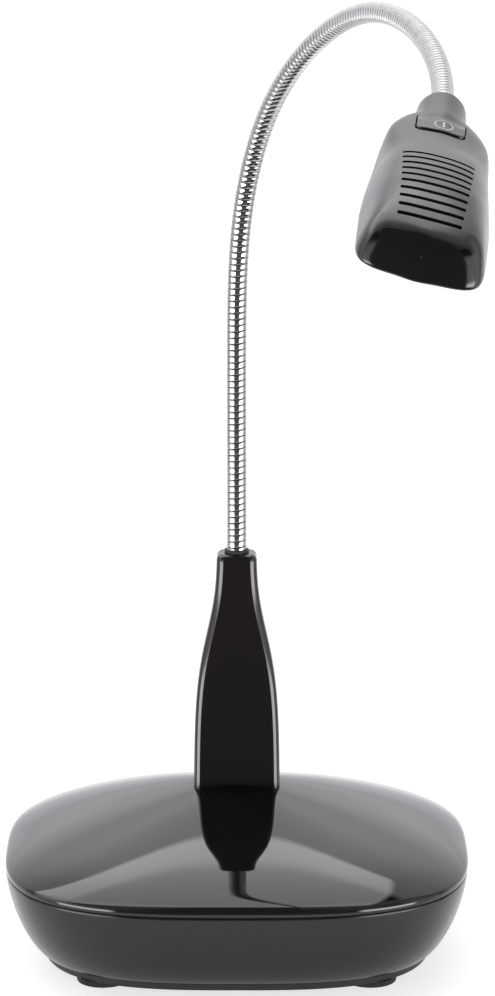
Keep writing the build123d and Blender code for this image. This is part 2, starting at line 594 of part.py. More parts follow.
with BuildPart() as head_shell:
    add(head_outer)
    with along_head(INNER_FROM_U):   # the round back runs on to the button
        Cylinder(BUTTON_TOP, BUTTON_U[0] - BUTTON_GAP - INNER_FROM_U, align=UP)
    split(bisect_by=facet_plane.offset(-COVER_THICK), keep=Keep.BOTTOM)
    add(head_loft(HEAD_WALL, HEAD_SECTIONS[1:]), mode=Mode.SUBTRACT)
    with along_head(0):
        Cylinder(NECK_R + CLEAR, 4 * HEAD_WALL, mode=Mode.SUBTRACT)

with BuildPart() as head_posts:
    with at_head(*HEAD_HOLES):
        Cylinder(BOSS_R, 50)
    add(head_outer, mode=Mode.INTERSECT)
    with at_head(*HEAD_HOLES):
        Cylinder(SCREW_HOLE_R, HEAD_SHANK + HOLE_SPARE, align=UP, mode=Mode.SUBTRACT)

with BuildPart() as head_top:
    add(head_shell.part)
    add(head_posts.part)
    split(bisect_by=HEAD.offset(HEAD_SPLIT), keep=Keep.TOP)
    for k in range(SLOTS):
        with at_head((SLOT_FIRST + SLOT_STEP * k, 0, SLOT_FLOOR)):
            Box(SLOT_WIDE, 2 * (SLOT_HALF - SLOT_TAPER * k), 9, align=UP, mode=Mode.SUBTRACT)
    add(button_block(BUTTON_GAP, SLOT_FLOOR, 9), mode=Mode.SUBTRACT)
head_top.part.label = "head_top"
export_step(head_top.part.moved(TO_FRAME), "parts/head_top.step")

with BuildPart() as head_bottom:
    add(head_shell.part)
    add(head_posts.part)
    split(bisect_by=HEAD.offset(HEAD_SPLIT), keep=Keep.BOTTOM)
    with at_head((LENS_MID, 0, HEAD_BOTTOM)):
        Box(LENS_U[1] - LENS_U[0] + 2 * CLEAR, 2 * (LENS_V + CLEAR), 6, mode=Mode.SUBTRACT)
    with at_head(*HEAD_HOLES):
        Cylinder(BOSS_SINK_R, 4, align=(Align.CENTER, Align.CENTER, Align.MAX),
                 mode=Mode.SUBTRACT)
        Cylinder(SCREW_HOLE_R, HEAD_SHANK, align=UP, mode=Mode.SUBTRACT)
head_bottom.part.label = "head_bottom"
export_step(head_bottom.part.moved(TO_FRAME), "parts/head_bottom.step")

with BuildPart() as front_cover:
    add(head_outer)
    split(bisect_by=facet_plane, keep=Keep.BOTTOM)
    split(bisect_by=facet_plane.offset(-COVER_THICK), keep=Keep.TOP)
front_cover.part.label = "front_cover"
export_step(front_cover.part.moved(TO_FRAME), "parts/front_cover.step")

with BuildPart() as head_screws:
    with at_head(*HEAD_HOLES):
        pan_screw(HEAD_SHANK)
head_screws.part.label = "head_screws"
export_step(head_screws.part.moved(TO_FRAME), "parts/head_screws.step")

with BuildPart() as head_collar:
    with along_head(-COLLAR_LONG):
        Cylinder(COLLAR_R, COLLAR_LONG, align=UP)
        Cylinder(NECK_R + CLEAR, COLLAR_LONG, align=UP, mode=Mode.SUBTRACT)
head_collar.part.label = "head_collar"
export_step(head_collar.part.moved(TO_FRAME), "parts/head_collar.step")

with BuildPart() as head_nut:
    with along_head(INNER_FROM_U):
        Cylinder(NUT_R, NUT_LONG, align=UP)
        Cylinder(NECK_R + CLEAR, NUT_LONG, align=UP, mode=Mode.SUBTRACT)
head_nut.part.label = "head_nut"
export_step(head_nut.part.moved(TO_FRAME), "parts/head_nut.step")

with BuildPart() as lens:
    with at_head((LENS_MID, 0, LENS_LOW)):
        Box(LENS_U[1] - LENS_U[0], 2 * LENS_V, LENS_THICK, align=UP)
lens.part.label = "lens"
export_step(lens.part.moved(TO_FRAME), "parts/lens.step")

TRAY_LOW = LENS_LOW + LENS_THICK
TRAY_TOP = TRAY_LOW + TRAY_TALL
with BuildPart() as reflector:
    with at_head((LENS_MID, 0, TRAY_LOW)):
        Box(TRAY_LONG, TRAY_WIDE, TRAY_TALL, align=UP)
        Box(TRAY_LONG - 2 * TRAY_WALL, TRAY_WIDE - 2 * TRAY_WALL, TRAY_TALL, align=UP,
            mode=Mode.SUBTRACT)
reflector.part.label = "reflector"
export_step(reflector.part.moved(TO_FRAME), "parts/reflector.step")

with BuildPart() as led_board:
    with at_head((LENS_MID, 0, TRAY_TOP)):
        Box(TRAY_LONG, TRAY_WIDE, LED_BOARD_THICK, align=UP)
led_board.part.label = "led_board"
export_step(led_board.part.moved(TO_FRAME), "parts/led_board.step")

LED_PLACES = [
    (LENS_MID + LED_PITCH * (k - 1.5), v, TRAY_TOP - LED[2])
    for k in range(4)
    for v in (-LED_V, LED_V)
]
with BuildPart() as leds:
    with at_head(*LED_PLACES):
        Box(*LED, align=UP)
leds.part.label = "leds"
export_step(leds.part.moved(TO_FRAME), "parts/leds.step")

with BuildPart() as heat_plate:
    with at_head((LENS_MID + 1, 0, TRAY_TOP + LED_BOARD_THICK)):
        Box(HEAT_PLATE_LONG, TRAY_WIDE, HEAT_PLATE_THICK, align=UP)
heat_plate.part.label = "heat_plate"
export_step(heat_plate.part.moved(TO_FRAME), "parts/heat_plate.step")

with BuildPart() as power_button:
    add(button_block(0, BUTTON_LOW, BUTTON_TOP - BUTTON_LOW))
    with at_head((BUTTON_MID, 0, STEM_TIP)):
        Cylinder(STEM_R, BUTTON_LOW - STEM_TIP, align=UP)
power_button.part.label = "power_button"
export_step(power_button.part.moved(TO_FRAME), "parts/power_button.step")

SWITCH_MID = SWITCH_LOW + SWITCH_BOARD[2]
with BuildPart() as switch_board:
    with at_head((BUTTON_MID, 0, SWITCH_LOW)):
        Box(*SWITCH_BOARD, align=UP)
    with at_head((BUTTON_MID, 0, SWITCH_MID)):
        Box(*SWITCH_BODY, align=UP)
    with at_head((BUTTON_MID, 0, SWITCH_MID + SWITCH_BODY[2])):
        Cylinder(PLUNGER_R, PLUNGER_TALL, align=UP)
switch_board.part.label = "switch_board"
export_step(switch_board.part.moved(TO_FRAME), "parts/switch_board.step")

with BuildPart() as button_spring:
    with at_head(*[(BUTTON_MID, 0, COIL_LOW + COIL_STEP * k) for k in range(COIL_TURNS)]):
        Torus(COIL_R, COIL_WIRE_R)
    coil_mid = COIL_LOW + COIL_STEP * (COIL_TURNS - 1) / 2
    with at_head((BUTTON_MID + COIL_R, 0, coil_mid)):
        Box(0.5, 0.5, COIL_STEP * (COIL_TURNS - 1))
button_spring.part.label = "button_spring"
export_step(button_spring.part.moved(TO_FRAME), "parts/button_spring.step")
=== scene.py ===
"""Looks of the battery gooseneck lamp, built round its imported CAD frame.

Shapes are worked out in millimetres from the middle of the base and moved to the row frame
as each mesh is made.
"""

import json
from math import cos, exp, pi, radians, sin, sqrt

import bmesh
import bpy
import numpy as np
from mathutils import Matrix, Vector
from mathutils.bvhtree import BVHTree


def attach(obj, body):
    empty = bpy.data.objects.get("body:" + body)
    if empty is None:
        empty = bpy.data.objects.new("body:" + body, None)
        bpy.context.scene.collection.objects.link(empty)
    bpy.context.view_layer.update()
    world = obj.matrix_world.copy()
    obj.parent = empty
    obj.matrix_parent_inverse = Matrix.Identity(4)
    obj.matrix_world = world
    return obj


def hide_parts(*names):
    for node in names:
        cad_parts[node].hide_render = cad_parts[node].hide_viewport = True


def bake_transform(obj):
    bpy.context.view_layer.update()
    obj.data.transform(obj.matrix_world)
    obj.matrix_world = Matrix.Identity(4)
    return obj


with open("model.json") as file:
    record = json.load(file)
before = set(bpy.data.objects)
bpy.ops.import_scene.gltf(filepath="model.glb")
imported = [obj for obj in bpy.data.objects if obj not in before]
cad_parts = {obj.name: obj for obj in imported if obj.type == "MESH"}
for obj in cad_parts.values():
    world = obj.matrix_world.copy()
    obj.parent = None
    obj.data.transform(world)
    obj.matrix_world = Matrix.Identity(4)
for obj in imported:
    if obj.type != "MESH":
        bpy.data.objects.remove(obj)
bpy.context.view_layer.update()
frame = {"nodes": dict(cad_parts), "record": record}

MM = 0.001
BASE_AT = np.array([0.0, 0.13021, 0.0])   # middle of the base in the row frame

# ---------------------------------------------------------------- sizes shared with the CAD
BASE_A, BASE_B, OUTLINE_POWER = 93.4, 85.5, 3.0
RIM_TOP, RIM_BOTTOM, RIM_PROUD, RIM_WIDE = 40.0, 37.2, 0.3, 3.0
DOME_RISE, DOME_P, DOME_Q = 28.7, 1.2, 1.293
BOWL_BOTTOM, BOWL_INSET, BOWL_POWER = 5.1, 14.7, 1.5
FLOOR_A, FLOOR_B, SHELL = 62.0, 54.0, 2.2
POST_FOOT_Z, POST_TOP_Z = 53.0, 162.6
POST_FOOT_HALF, POST_TOP_HALF = 17.46, 7.97
POST_FOOT_DEEP, POST_TOP_DEEP = 8.0, 7.2
POST_FOOT_CORNER, POST_TOP_CORNER = 3.2, 3.7
POST_WAIST_Z, POST_WAIST_LONG, POST_WAIST_POWER = 147.1, 13.64, 3.33
POST_TOP_EDGE = 2.4
BENDS = [
    (0, 0, 192.5), (0, -2.0, 247.5), (2.5, -10.0, 302.0), (13.5, -28.5, 346.5),
    (32.0, -61.0, 377.5), (50.5, -105.0, 392.5), (64.5, -153.5, 392.0), (71.0, -207.5, 382.5),
]
HEAD_AT = np.array([69.6, -240.0, 375.1])
HEAD_F = np.array([-0.1016, -0.9670, -0.2334])
HEAD_N = np.array([0.2305, -0.2512, 0.9401])
HEAD_BOTTOM, HEAD_SPLIT = -12.5, -5.0
# distance along, half width, top, waist, bottom, power of the top, power of the bottom;
# rounded from a scratch program's fit to the photograph's outlines, as BENDS and HEAD_AT to HEAD_N are
HEAD_SECTIONS = [
    (0.0, 8.1, 8.1, 0.0, -8.0, 2.0, 2.0), (3.0, 8.5, 7.7, -0.6, -8.5, 2.1, 2.15),
    (6.0, 8.9, 7.3, -1.1, -9.0, 2.15, 2.35), (9.0, 9.5, 6.9, -1.4, -9.5, 2.2, 2.55),
    (12.0, 11.3, 6.5, -1.75, -10.0, 2.2, 2.8), (16.0, 14.4, 6.35, -2.1, -10.6, 2.4, 3.1),
    (22.0, 16.8, 6.5, -2.6, -11.3, 2.5, 3.5), (30.0, 18.65, 6.6, -3.2, -12.0, 2.35, 4.1),
    (40.0, 19.65, 7.1, -3.55, -12.4, 2.3, 4.7), (52.0, 20.6, 8.7, -3.75, HEAD_BOTTOM, 2.3, 5.0),
    (64.0, 21.2, 9.5, -3.85, HEAD_BOTTOM, 2.3, 5.0), (76.0, 21.5, 9.35, -3.9, HEAD_BOTTOM, 2.45, 4.8),
    (88.0, 21.3, 7.7, -3.95, HEAD_BOTTOM, 2.8, 4.4), (98.0, 21.1, 5.3, -4.0, HEAD_BOTTOM, 3.2, 4.1),
    (108.0, 20.3, 1.9, -5.3, -12.2, 2.9, 3.8), (118.0, 17.3, -2.6, -7.5, -12.1, 2.6, 4.2),
]
FACET_AT, FACET_DIR = (106.65, 2.0), (0.933, 0.36)
SLOTS, SLOT_FIRST, SLOT_STEP, SLOT_WIDE, SLOT_HALF, SLOT_TAPER = 10, 56.3, 4.68, 1.7, 12.1, 0.17
BUTTON_GAP, BUTTON_CORNER, BUTTON_TOP = 0.4, 2.0, 7.9
LENS_U, LENS_V = (50.0, 104.0), 13.0

HEAD_F = HEAD_F / np.linalg.norm(HEAD_F)
HEAD_N = HEAD_N - HEAD_F * HEAD_N.dot(HEAD_F)
HEAD_N = HEAD_N / np.linalg.norm(HEAD_N)
HEAD_V = np.cross(HEAD_N, HEAD_F)


def head_point(u, v, w):
    """Head frame to base frame; u, v and w may be arrays."""
    u, v, w = (np.asarray(c, float)[..., None] for c in (u, v, w))
    return HEAD_AT + HEAD_F * u + HEAD_V * v + HEAD_N * w


# ---------------------------------------------------------------- meshes
def add_mesh(name, points, faces, material, body=None, replaces=(), sharp=None):
    """A smooth piece from points in the base frame; sharp is the angle from which edges stay sharp."""
    mesh = bpy.data.meshes.new(name)
    row = np.asarray(points, float).reshape(-1, 3) * MM + BASE_AT
    mesh.from_pydata(row.tolist(), [], faces)
    work = bmesh.new()
    work.from_mesh(mesh)
    bmesh.ops.recalc_face_normals(work, faces=work.faces)
    work.to_mesh(mesh)
    work.free()
    mesh.shade_smooth()
    if sharp:
        mesh.set_sharp_from_angle(angle=radians(sharp))
    mesh.materials.append(material)
    obj = bpy.data.objects.new(name, mesh)
    bpy.context.scene.collection.objects.link(obj)
    if body:
        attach(obj, body)
    if replaces:
        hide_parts(*replaces)
    return obj


def ring_faces(rows, count, close_rows=False, close_ring=True):
    faces = []
    for i in range(rows if close_rows else rows - 1):
        a, b = i * count, ((i + 1) % rows) * count
        for k in range(count if close_ring else count - 1):
            j = (k + 1) % count
            faces.append((a + k, a + j, b + j, b + k))
    return faces


def capped(rings):
    """Points and faces of a tube of rings with flat ends."""
    rings = np.asarray(rings, float)
    rows, count, _ = rings.shape
    faces = ring_faces(rows, count)
    faces.append(tuple(range(count)))
    faces.append(tuple((rows - 1) * count + k for k in range(count)))
    return rings.reshape(-1, 3), faces


def looped(rings):
    """Points and faces of rings whose last row joins the first."""
    rings = np.asarray(rings, float)
    rows, count, _ = rings.shape
    return rings.reshape(-1, 3), ring_faces(rows, count, close_rows=True)


def thick_patch(outer, inner, wrap):
    """A patch of rows and columns with a wall behind it, closed at its edges."""
    rows, count, _ = outer.shape
    points = np.concatenate([outer.reshape(-1, 3), inner.reshape(-1, 3)])
    back = rows * count
    faces = ring_faces(rows, count, close_ring=wrap)
    faces += [tuple(back + k for k in reversed(f)) for f in faces]
    for row in (0, rows - 1):
        for k in range(count if wrap else count - 1):
            a, b = row * count + k, row * count + (k + 1) % count
            faces.append((a, b, back + b, back + a))
    if not wrap:
        for column in (0, count - 1):
            for i in range(rows - 1):
                a, b = i * count + column, (i + 1) * count + column
                faces.append((a, b, back + b, back + a))
    return points, faces


def spline(points, start, end):
    """A smooth cubic through the points, by length along them: returns (lengths, function).

    start and end are the directions at its ends.
    """
    points = np.asarray(points, float)
    at = np.r_[0, np.cumsum(np.linalg.norm(np.diff(points, axis=0), axis=1))]
    return at, cubic(at, points, start, end)


def cubic(at, values, start, end):
    """The smooth cubic through values at the places at, with these slopes at its ends."""
    at, values = np.asarray(at, float), np.asarray(values, float)
    n, h = len(at), np.diff(at)
    slope = np.diff(values, axis=0) / h.reshape((-1,) + (1,) * (values.ndim - 1))
    matrix, right = np.zeros((n, n)), np.zeros_like(values)
    for i in range(1, n - 1):
        matrix[i, i - 1:i + 2] = h[i], 2 * (h[i - 1] + h[i]), h[i - 1]
        right[i] = 3 * (h[i] * slope[i - 1] + h[i - 1] * slope[i])
    matrix[0, 0], right[0] = 1, start
    matrix[-1, -1], right[-1] = 1, end
    d = np.linalg.solve(matrix, right)

    def value(x):
        x = np.asarray(x, float)
        i = np.clip(np.searchsorted(at, x, side="right") - 1, 0, n - 2)
        shape = x.shape + (1,) * (values.ndim - 1)
        width = h[i].reshape(shape)
        t = (x - at[i]).reshape(shape) / width
        a, b = values[i], values[i + 1]
        return (
            a * (1 + 2 * t) * (1 - t) ** 2 + b * t * t * (3 - 2 * t)
            + width * (d[i] * t * (1 - t) ** 2 - d[i + 1] * t * t * (1 - t))
        )

    return value


def steady(at, values):
    """A smooth curve through the values that swings past none of them."""
    at, values = np.asarray(at, float), np.asarray(values, float)
    h = np.diff(at)[:, None]
    slope = np.diff(values, axis=0) / h
    d = np.zeros_like(values)
    d[0], d[-1] = slope[0], slope[-1]
    before, after = slope[:-1], slope[1:]
    near, far = 2 * h[1:] + h[:-1], h[1:] + 2 * h[:-1]
    same = before * after > 0
    safe = np.where(same, near / np.where(same, before, 1) + far / np.where(same, after, 1), 1)
    d[1:-1] = np.where(same, (near + far) / safe, 0)

    def value(x):
        x = np.asarray(x, float)
        i = np.clip(np.searchsorted(at, x, side="right") - 1, 0, len(at) - 2)
        width = h[i]
        t = (x - at[i])[..., None] / width
        return (
            values[i] * (1 + 2 * t) * (1 - t) ** 2 + values[i + 1] * t * t * (3 - 2 * t)
            + width * (d[i] * t * (1 - t) ** 2 - d[i + 1] * t * t * (1 - t))
        )

    return value


# ---------------------------------------------------------------- materials
NOISE_LOW, NOISE_HIGH = 0.3, 0.7   # the part of a noise texture's range that is used


def new_material(name, color, roughness, **sockets):
    """A material whose surface is one shader; returns it with its shader and node tree."""
    material = bpy.data.materials.new(name)
    material.use_nodes = True
    tree = material.node_tree
    shader = tree.nodes["Principled BSDF"]
    shader.inputs["Base Color"].default_value = (*color, 1)
    shader.inputs["Roughness"].default_value = roughness
    for key, value in sockets.items():
        shader.inputs[key.replace("_", " ")].default_value = value
    return material, shader, tree


def noise(tree, scale, detail=3.0):
    place = tree.nodes.new("ShaderNodeTexCoord")
    texture = tree.nodes.new("ShaderNodeTexNoise")
    texture.inputs["Scale"].default_value = scale
    texture.inputs["Detail"].default_value = detail
    tree.links.new(place.outputs["Object"], texture.inputs["Vector"])
    return texture.outputs[0]


def vary(tree, source, low, high, target):
    spread = tree.nodes.new("ShaderNodeMapRange")
    spread.inputs["From Min"].default_value = NOISE_LOW
    spread.inputs["From Max"].default_value = NOISE_HIGH
    spread.inputs["To Min"].default_value = low
    spread.inputs["To Max"].default_value = high
    tree.links.new(source, spread.inputs["Value"])
    tree.links.new(spread.outputs["Result"], target)


def tint(tree, source, low, high, target):
    ramp = tree.nodes.new("ShaderNodeValToRGB")
    ramp.color_ramp.elements[0].position = NOISE_LOW
    ramp.color_ramp.elements[1].position = NOISE_HIGH
    ramp.color_ramp.elements[0].color = (*low, 1)
    ramp.color_ramp.elements[1].color = (*high, 1)
    tree.links.new(source, ramp.inputs["Fac"])
    tree.links.new(ramp.outputs["Color"], target)


def bump(tree, shader, source, distance, strength=1.0):
    node = tree.nodes.new("ShaderNodeBump")
    node.inputs["Strength"].default_value = strength
    node.inputs["Distance"].default_value = distance
    tree.links.new(source, node.inputs["Height"])
    tree.links.new(node.outputs["Normal"], shader.inputs["Normal"])


def plastic(name, low, high, roughness, grain, grain_scale, **sockets):
    """Moulded plastic: slight colour drift, uneven gloss and a fine grain."""
    material, shader, tree = new_material(name, low, roughness[0], **sockets)
    drift = noise(tree, 30)
    tint(tree, drift, low, high, shader.inputs["Base Color"])
    vary(tree, noise(tree, 90), *roughness, shader.inputs["Roughness"])
    bump(tree, shader, noise(tree, grain_scale, 2.0), grain)
    return material


def metal(name, low, high, roughness):
    material, shader, tree = new_material(name, low, roughness[0], Metallic=1.0)
    tint(tree, noise(tree, 120), low, high, shader.inputs["Base Color"])
    vary(tree, noise(tree, 400), *roughness, shader.inputs["Roughness"])
    bump(tree, shader, noise(tree, 900), 0.00001)
    return material


dome_gloss = plastic("dome_gloss", (0.004, 0.0035, 0.004), (0.006, 0.005, 0.0058),
                     (0.02, 0.045), 0.0000012, 160)
post_gloss = plastic("post_gloss", (0.006, 0.0045, 0.005), (0.008, 0.006, 0.0066),
                     (0.05, 0.09), 0.000002, 220)
bowl_satin = plastic("bowl_satin", (0.0075, 0.007, 0.0075), (0.0095, 0.009, 0.0095),
                     (0.2, 0.26), 0.000004, 700, IOR=1.45)
plain_black = plastic("plain_black", (0.012, 0.012, 0.012), (0.018, 0.018, 0.018),
                      (0.38, 0.5), 0.00002, 1500)
head_satin = plastic("head_satin", (0.007, 0.007, 0.007), (0.009, 0.009, 0.009),
                     (0.23, 0.29), 0.000005, 900, IOR=1.62)
head_gloss = plastic("head_gloss", (0.004, 0.003, 0.0035), (0.006, 0.005, 0.0055),
                     (0.14, 0.19), 0.000002, 400)
rubber = plastic("rubber", (0.012, 0.012, 0.012), (0.02, 0.02, 0.02), (0.6, 0.75), 0.00004, 1200)
wire_skin = plastic("wire_skin", (0.02, 0.02, 0.02), (0.03, 0.03, 0.03), (0.45, 0.6), 0.00002, 900)
white = plastic("white", (0.78, 0.78, 0.75), (0.84, 0.84, 0.82), (0.35, 0.5), 0.000008, 700)
board = plastic("board", (0.012, 0.075, 0.03), (0.02, 0.11, 0.045), (0.3, 0.45), 0.00001, 800)
led = plastic("led", (0.85, 0.72, 0.2), (0.9, 0.78, 0.3), (0.3, 0.4), 0.00001, 900)
cell_skin = plastic("cell_skin", (0.05, 0.05, 0.055), (0.07, 0.07, 0.078), (0.25, 0.4), 0.000004, 300)
mark_white = plastic("mark_white", (0.4, 0.4, 0.4), (0.46, 0.46, 0.45), (0.4, 0.5), 0.000003, 900)
steel = metal("steel", (0.5, 0.5, 0.5), (0.62, 0.61, 0.6), (0.25, 0.42))
alu = metal("alu", (0.68, 0.68, 0.7), (0.78, 0.78, 0.79), (0.3, 0.45))

clear, shader, tree = new_material(
    "clear", (0.93, 0.93, 0.9), 0.12, IOR=1.49, Transmission_Weight=1.0, Alpha=1.0
)
prisms = tree.nodes.new("ShaderNodeTexVoronoi")
prisms.inputs["Scale"].default_value = 600
place = tree.nodes.new("ShaderNodeTexCoord")
tree.links.new(place.outputs["Object"], prisms.inputs["Vector"])
bump(tree, shader, prisms.outputs["Distance"], 0.0004, 0.6)
vary(tree, noise(tree, 300), 0.1, 0.22, shader.inputs["Roughness"])

# chrome with painted shade in the gaps between its turns; "groove" is 1 in the gap between two turns,
# where the base colour is darkened to stand in for the shade there
chrome, shader, tree = new_material("coil_chrome", (0.8, 0.8, 0.8), 0.12, Metallic=1.0)
groove = tree.nodes.new("ShaderNodeAttribute")
groove.attribute_name = "groove"
mix = tree.nodes.new("ShaderNodeMix")
mix.data_type = "RGBA"
colors = [s for s in mix.inputs if s.type == "RGBA"]
# the near-black colour painted into the gaps between turns as shade
colors[1].default_value = (0.02, 0.02, 0.022, 1)
tint(tree, noise(tree, 260), (0.4, 0.4, 0.405), (0.47, 0.47, 0.475), colors[0])
tree.links.new(groove.outputs["Fac"], mix.inputs[0])
tree.links.new([s for s in mix.outputs if s.type == "RGBA"][0], shader.inputs["Base Color"])
vary(tree, noise(tree, 500), 0.08, 0.17, shader.inputs["Roughness"])

SLOT_MATERIALS = {
    "dome_gloss": dome_gloss, "bowl_satin": bowl_satin, "plain_black": plain_black,
    "rubber": rubber, "steel": steel, "coil_chrome": chrome, "cell_skin": cell_skin,
    "board": board, "wire_skin": wire_skin, "head_satin": head_satin, "head_gloss": head_gloss,
    "clear": clear, "white": white, "led": led, "alu": alu,
}
for part in frame["record"]["subparts"]:
    node = frame["nodes"][part["node"]]
    node.data.materials.clear()
    node.data.materials.append(SLOT_MATERIALS[part["material_slot"]])


# ---------------------------------------------------------------- base
ROUND = 240                        # points round the base
DOME_ROWS, DOME_SPREAD, DOME_TURN = 44, 1.35, 1.36   # rows, closer at the rim; where they end
POST_ROWS = 10                     # rows from there to the post
POST_GAP = 0.15                    # between the dome and the post
BOWL_ROWS = 40


def outline(a, b, z, count=ROUND):
    angle = 2 * pi * np.arange(count) / count
    c, s = np.cos(angle), np.sin(angle)
    r = (np.abs(c / a) ** OUTLINE_POWER + np.abs(s / b) ** OUTLINE_POWER) ** (-1 / OUTLINE_POWER)
    return np.stack([r * c, r * s, np.full(count, float(z))], 1)


def dome_height(x, y, inset, rise):
    across, along_y = np.abs(x / (BASE_A - inset)), np.abs(y / (BASE_B - inset))
    rho = (across ** OUTLINE_POWER + along_y ** OUTLINE_POWER) ** (1 / OUTLINE_POWER)
    return RIM_TOP + rise * np.clip(1 - rho ** DOME_P, 0, 1) ** (1 / DOME_Q)


def post_rim(half_x, half_y, corner, count=ROUND):
    """The post's outline, one point for each direction of the base outline."""
    angle = 2 * pi * np.arange(count) / count
    c, s = np.abs(np.cos(angle)), np.abs(np.sin(angle))
    points = []
    for k in range(count):
        r = min(half_x / max(c[k], 1e-9), half_y / max(s[k], 1e-9))
        x, y = r * c[k], r * s[k]
        cx, cy = half_x - corner, half_y - corner
        if x > cx and y > cy:
            m = c[k] * cx + s[k] * cy
            r = m + sqrt(m * m - (cx * cx + cy * cy) + corner * corner)
            x, y = r * c[k], r * s[k]
        points.append((x * np.sign(np.cos(angle[k])), y * np.sign(np.sin(angle[k]))))
    return np.array(points)


def dome_rings(inset, wall, hole):
    """Rings from the dome's rim up to the hole for the post."""
    rise = DOME_RISE - wall
    rings = []
    for turn in np.linspace(0, 1, DOME_ROWS) ** DOME_SPREAD * DOME_TURN:
        r, t = cos(turn) ** (2 / DOME_P), sin(turn) ** (2 / DOME_Q)
        rings.append(outline((BASE_A - inset) * r, (BASE_B - inset) * r, RIM_TOP + rise * t))
    last = rings[-1]
    rim = post_rim(*hole)
    for k in np.linspace(0, 1, POST_ROWS + 1)[1:]:
        x = last[:, 0] + (rim[:, 0] - last[:, 0]) * k
        y = last[:, 1] + (rim[:, 1] - last[:, 1]) * k
        rings.append(np.stack([x, y, dome_height(x, y, inset, rise)], 1))
    return rings


hole = (POST_FOOT_HALF + POST_GAP, POST_FOOT_DEEP + POST_GAP, POST_FOOT_CORNER)
outer = dome_rings(RIM_PROUD, 0, hole)
inner = dome_rings(RIM_PROUD + SHELL, SHELL, hole)
points, faces = looped(outer + inner[::-1])
add_mesh("dome", points, faces, dome_gloss, "base", ["base_cover"], sharp=50)

# the trim band: a bead with a softly rounded top edge; (inset, height) down its outside
BEAD_R = 0.75
profile = [(RIM_WIDE, RIM_TOP), (1.4, RIM_TOP)]
profile += [
    (BEAD_R - BEAD_R * sin(a), RIM_TOP - BEAD_R + BEAD_R * cos(a)) for a in np.linspace(0, pi / 2, 9)
]
profile += [(0.0, 38.3), (0.02, 37.7), (0.3, RIM_BOTTOM + 0.12), (0.7, RIM_BOTTOM + 0.02),
            (RIM_WIDE, RIM_BOTTOM)]
rings = [outline(BASE_A - d, BASE_B - d, z) for d, z in profile]
points, faces = looped(rings)
add_mesh("trim_band", points, faces, post_gloss, "base", ["rim_band"], sharp=50)


def bowl_rings(wall):
    rings = []
    for turn in np.linspace(0, pi / 2, BOWL_ROWS):
        inset = BOWL_INSET * (1 - max(cos(turn), 0) ** (2 / BOWL_POWER)) + wall
        z = RIM_BOTTOM - (RIM_BOTTOM - BOWL_BOTTOM - wall) * sin(turn) ** (2 / BOWL_POWER)
        rings.append(outline(BASE_A - inset, BASE_B - inset, z))
    return rings


outer = bowl_rings(0)
# its upper edge is rounded under the trim band
outer[0] = outline(BASE_A - 0.45, BASE_B - 0.45, RIM_BOTTOM - 0.02)
outer.insert(1, outline(BASE_A - 0.12, BASE_B - 0.12, RIM_BOTTOM - 0.12))
outer.append(outline(FLOOR_A, FLOOR_B, BOWL_BOTTOM))
inner = bowl_rings(SHELL)
inner.append(outline(FLOOR_A, FLOOR_B, BOWL_BOTTOM + SHELL))
points, faces = looped(outer + inner[::-1])
add_mesh("bowl", points, faces, bowl_satin, "base", ["base_bowl"], sharp=45)


# ---------------------------------------------------------------- post
def post_size(z):
    """Half width, half depth and corner radius of the post at a height."""
    foot = (1 + exp((z - POST_WAIST_Z) / POST_WAIST_LONG)) ** -POST_WAIST_POWER
    return (
        POST_TOP_HALF + (POST_FOOT_HALF - POST_TOP_HALF) * foot,
        POST_TOP_DEEP + (POST_FOOT_DEEP - POST_TOP_DEEP) * foot,
        POST_TOP_CORNER + (POST_FOOT_CORNER - POST_TOP_CORNER) * foot,
    )


SEAM = 0.12                        # half the groove between the post's two shells
POST_HEIGHTS, LEAST_CORNER = 70, 0.8


def half_ring(half_x, half_y, corner, z):
    """The front half of the post's outline, from its left seam to its right one."""
    side = [(-half_x + SEAM, 0), (-half_x, -SEAM)]
    side += [(-half_x, -SEAM - (half_y - corner - SEAM) * k / 4) for k in (1, 2, 3)]
    arc = np.linspace(0, pi / 2, 13)
    side += [
        (-half_x + corner - corner * cos(a), -half_y + corner - corner * sin(a)) for a in arc
    ]
    front = [(-(half_x - corner) * (1 - k / 5), -half_y) for k in range(1, 5)]
    left = side + front
    right = [(-x, y) for x, y in reversed(left)]
    return [(x, y, z) for x, y in left + [(0, -half_y)] + right]


rings = []
for z in np.linspace(POST_FOOT_Z, POST_TOP_Z - POST_TOP_EDGE, POST_HEIGHTS):
    rings.append(half_ring(*post_size(z), z))
size = post_size(POST_TOP_Z - POST_TOP_EDGE)
for turn in np.linspace(0, pi / 2, 10)[1:]:
    inset = POST_TOP_EDGE * (1 - cos(turn))
    z = POST_TOP_Z - POST_TOP_EDGE + POST_TOP_EDGE * sin(turn)
    corner = max(size[2] - inset, LEAST_CORNER)
    rings.append(half_ring(size[0] - inset, size[1] - inset, corner, z))
front = np.array(rings)
points, faces = capped(front)
add_mesh("post_front_shell", points, faces, post_gloss, "base", ["post_front"],
         sharp=40)
points, faces = capped(front * (1, -1, 1))
add_mesh("post_rear_shell", points, faces, post_gloss, "base", ["post_rear"],
         sharp=40)

# ---------------------------------------------------------------- gooseneck
PITCH = 2.535                      # of the winding
TURN_STEPS = 32                    # columns round the neck
COIL_SHARP = 70
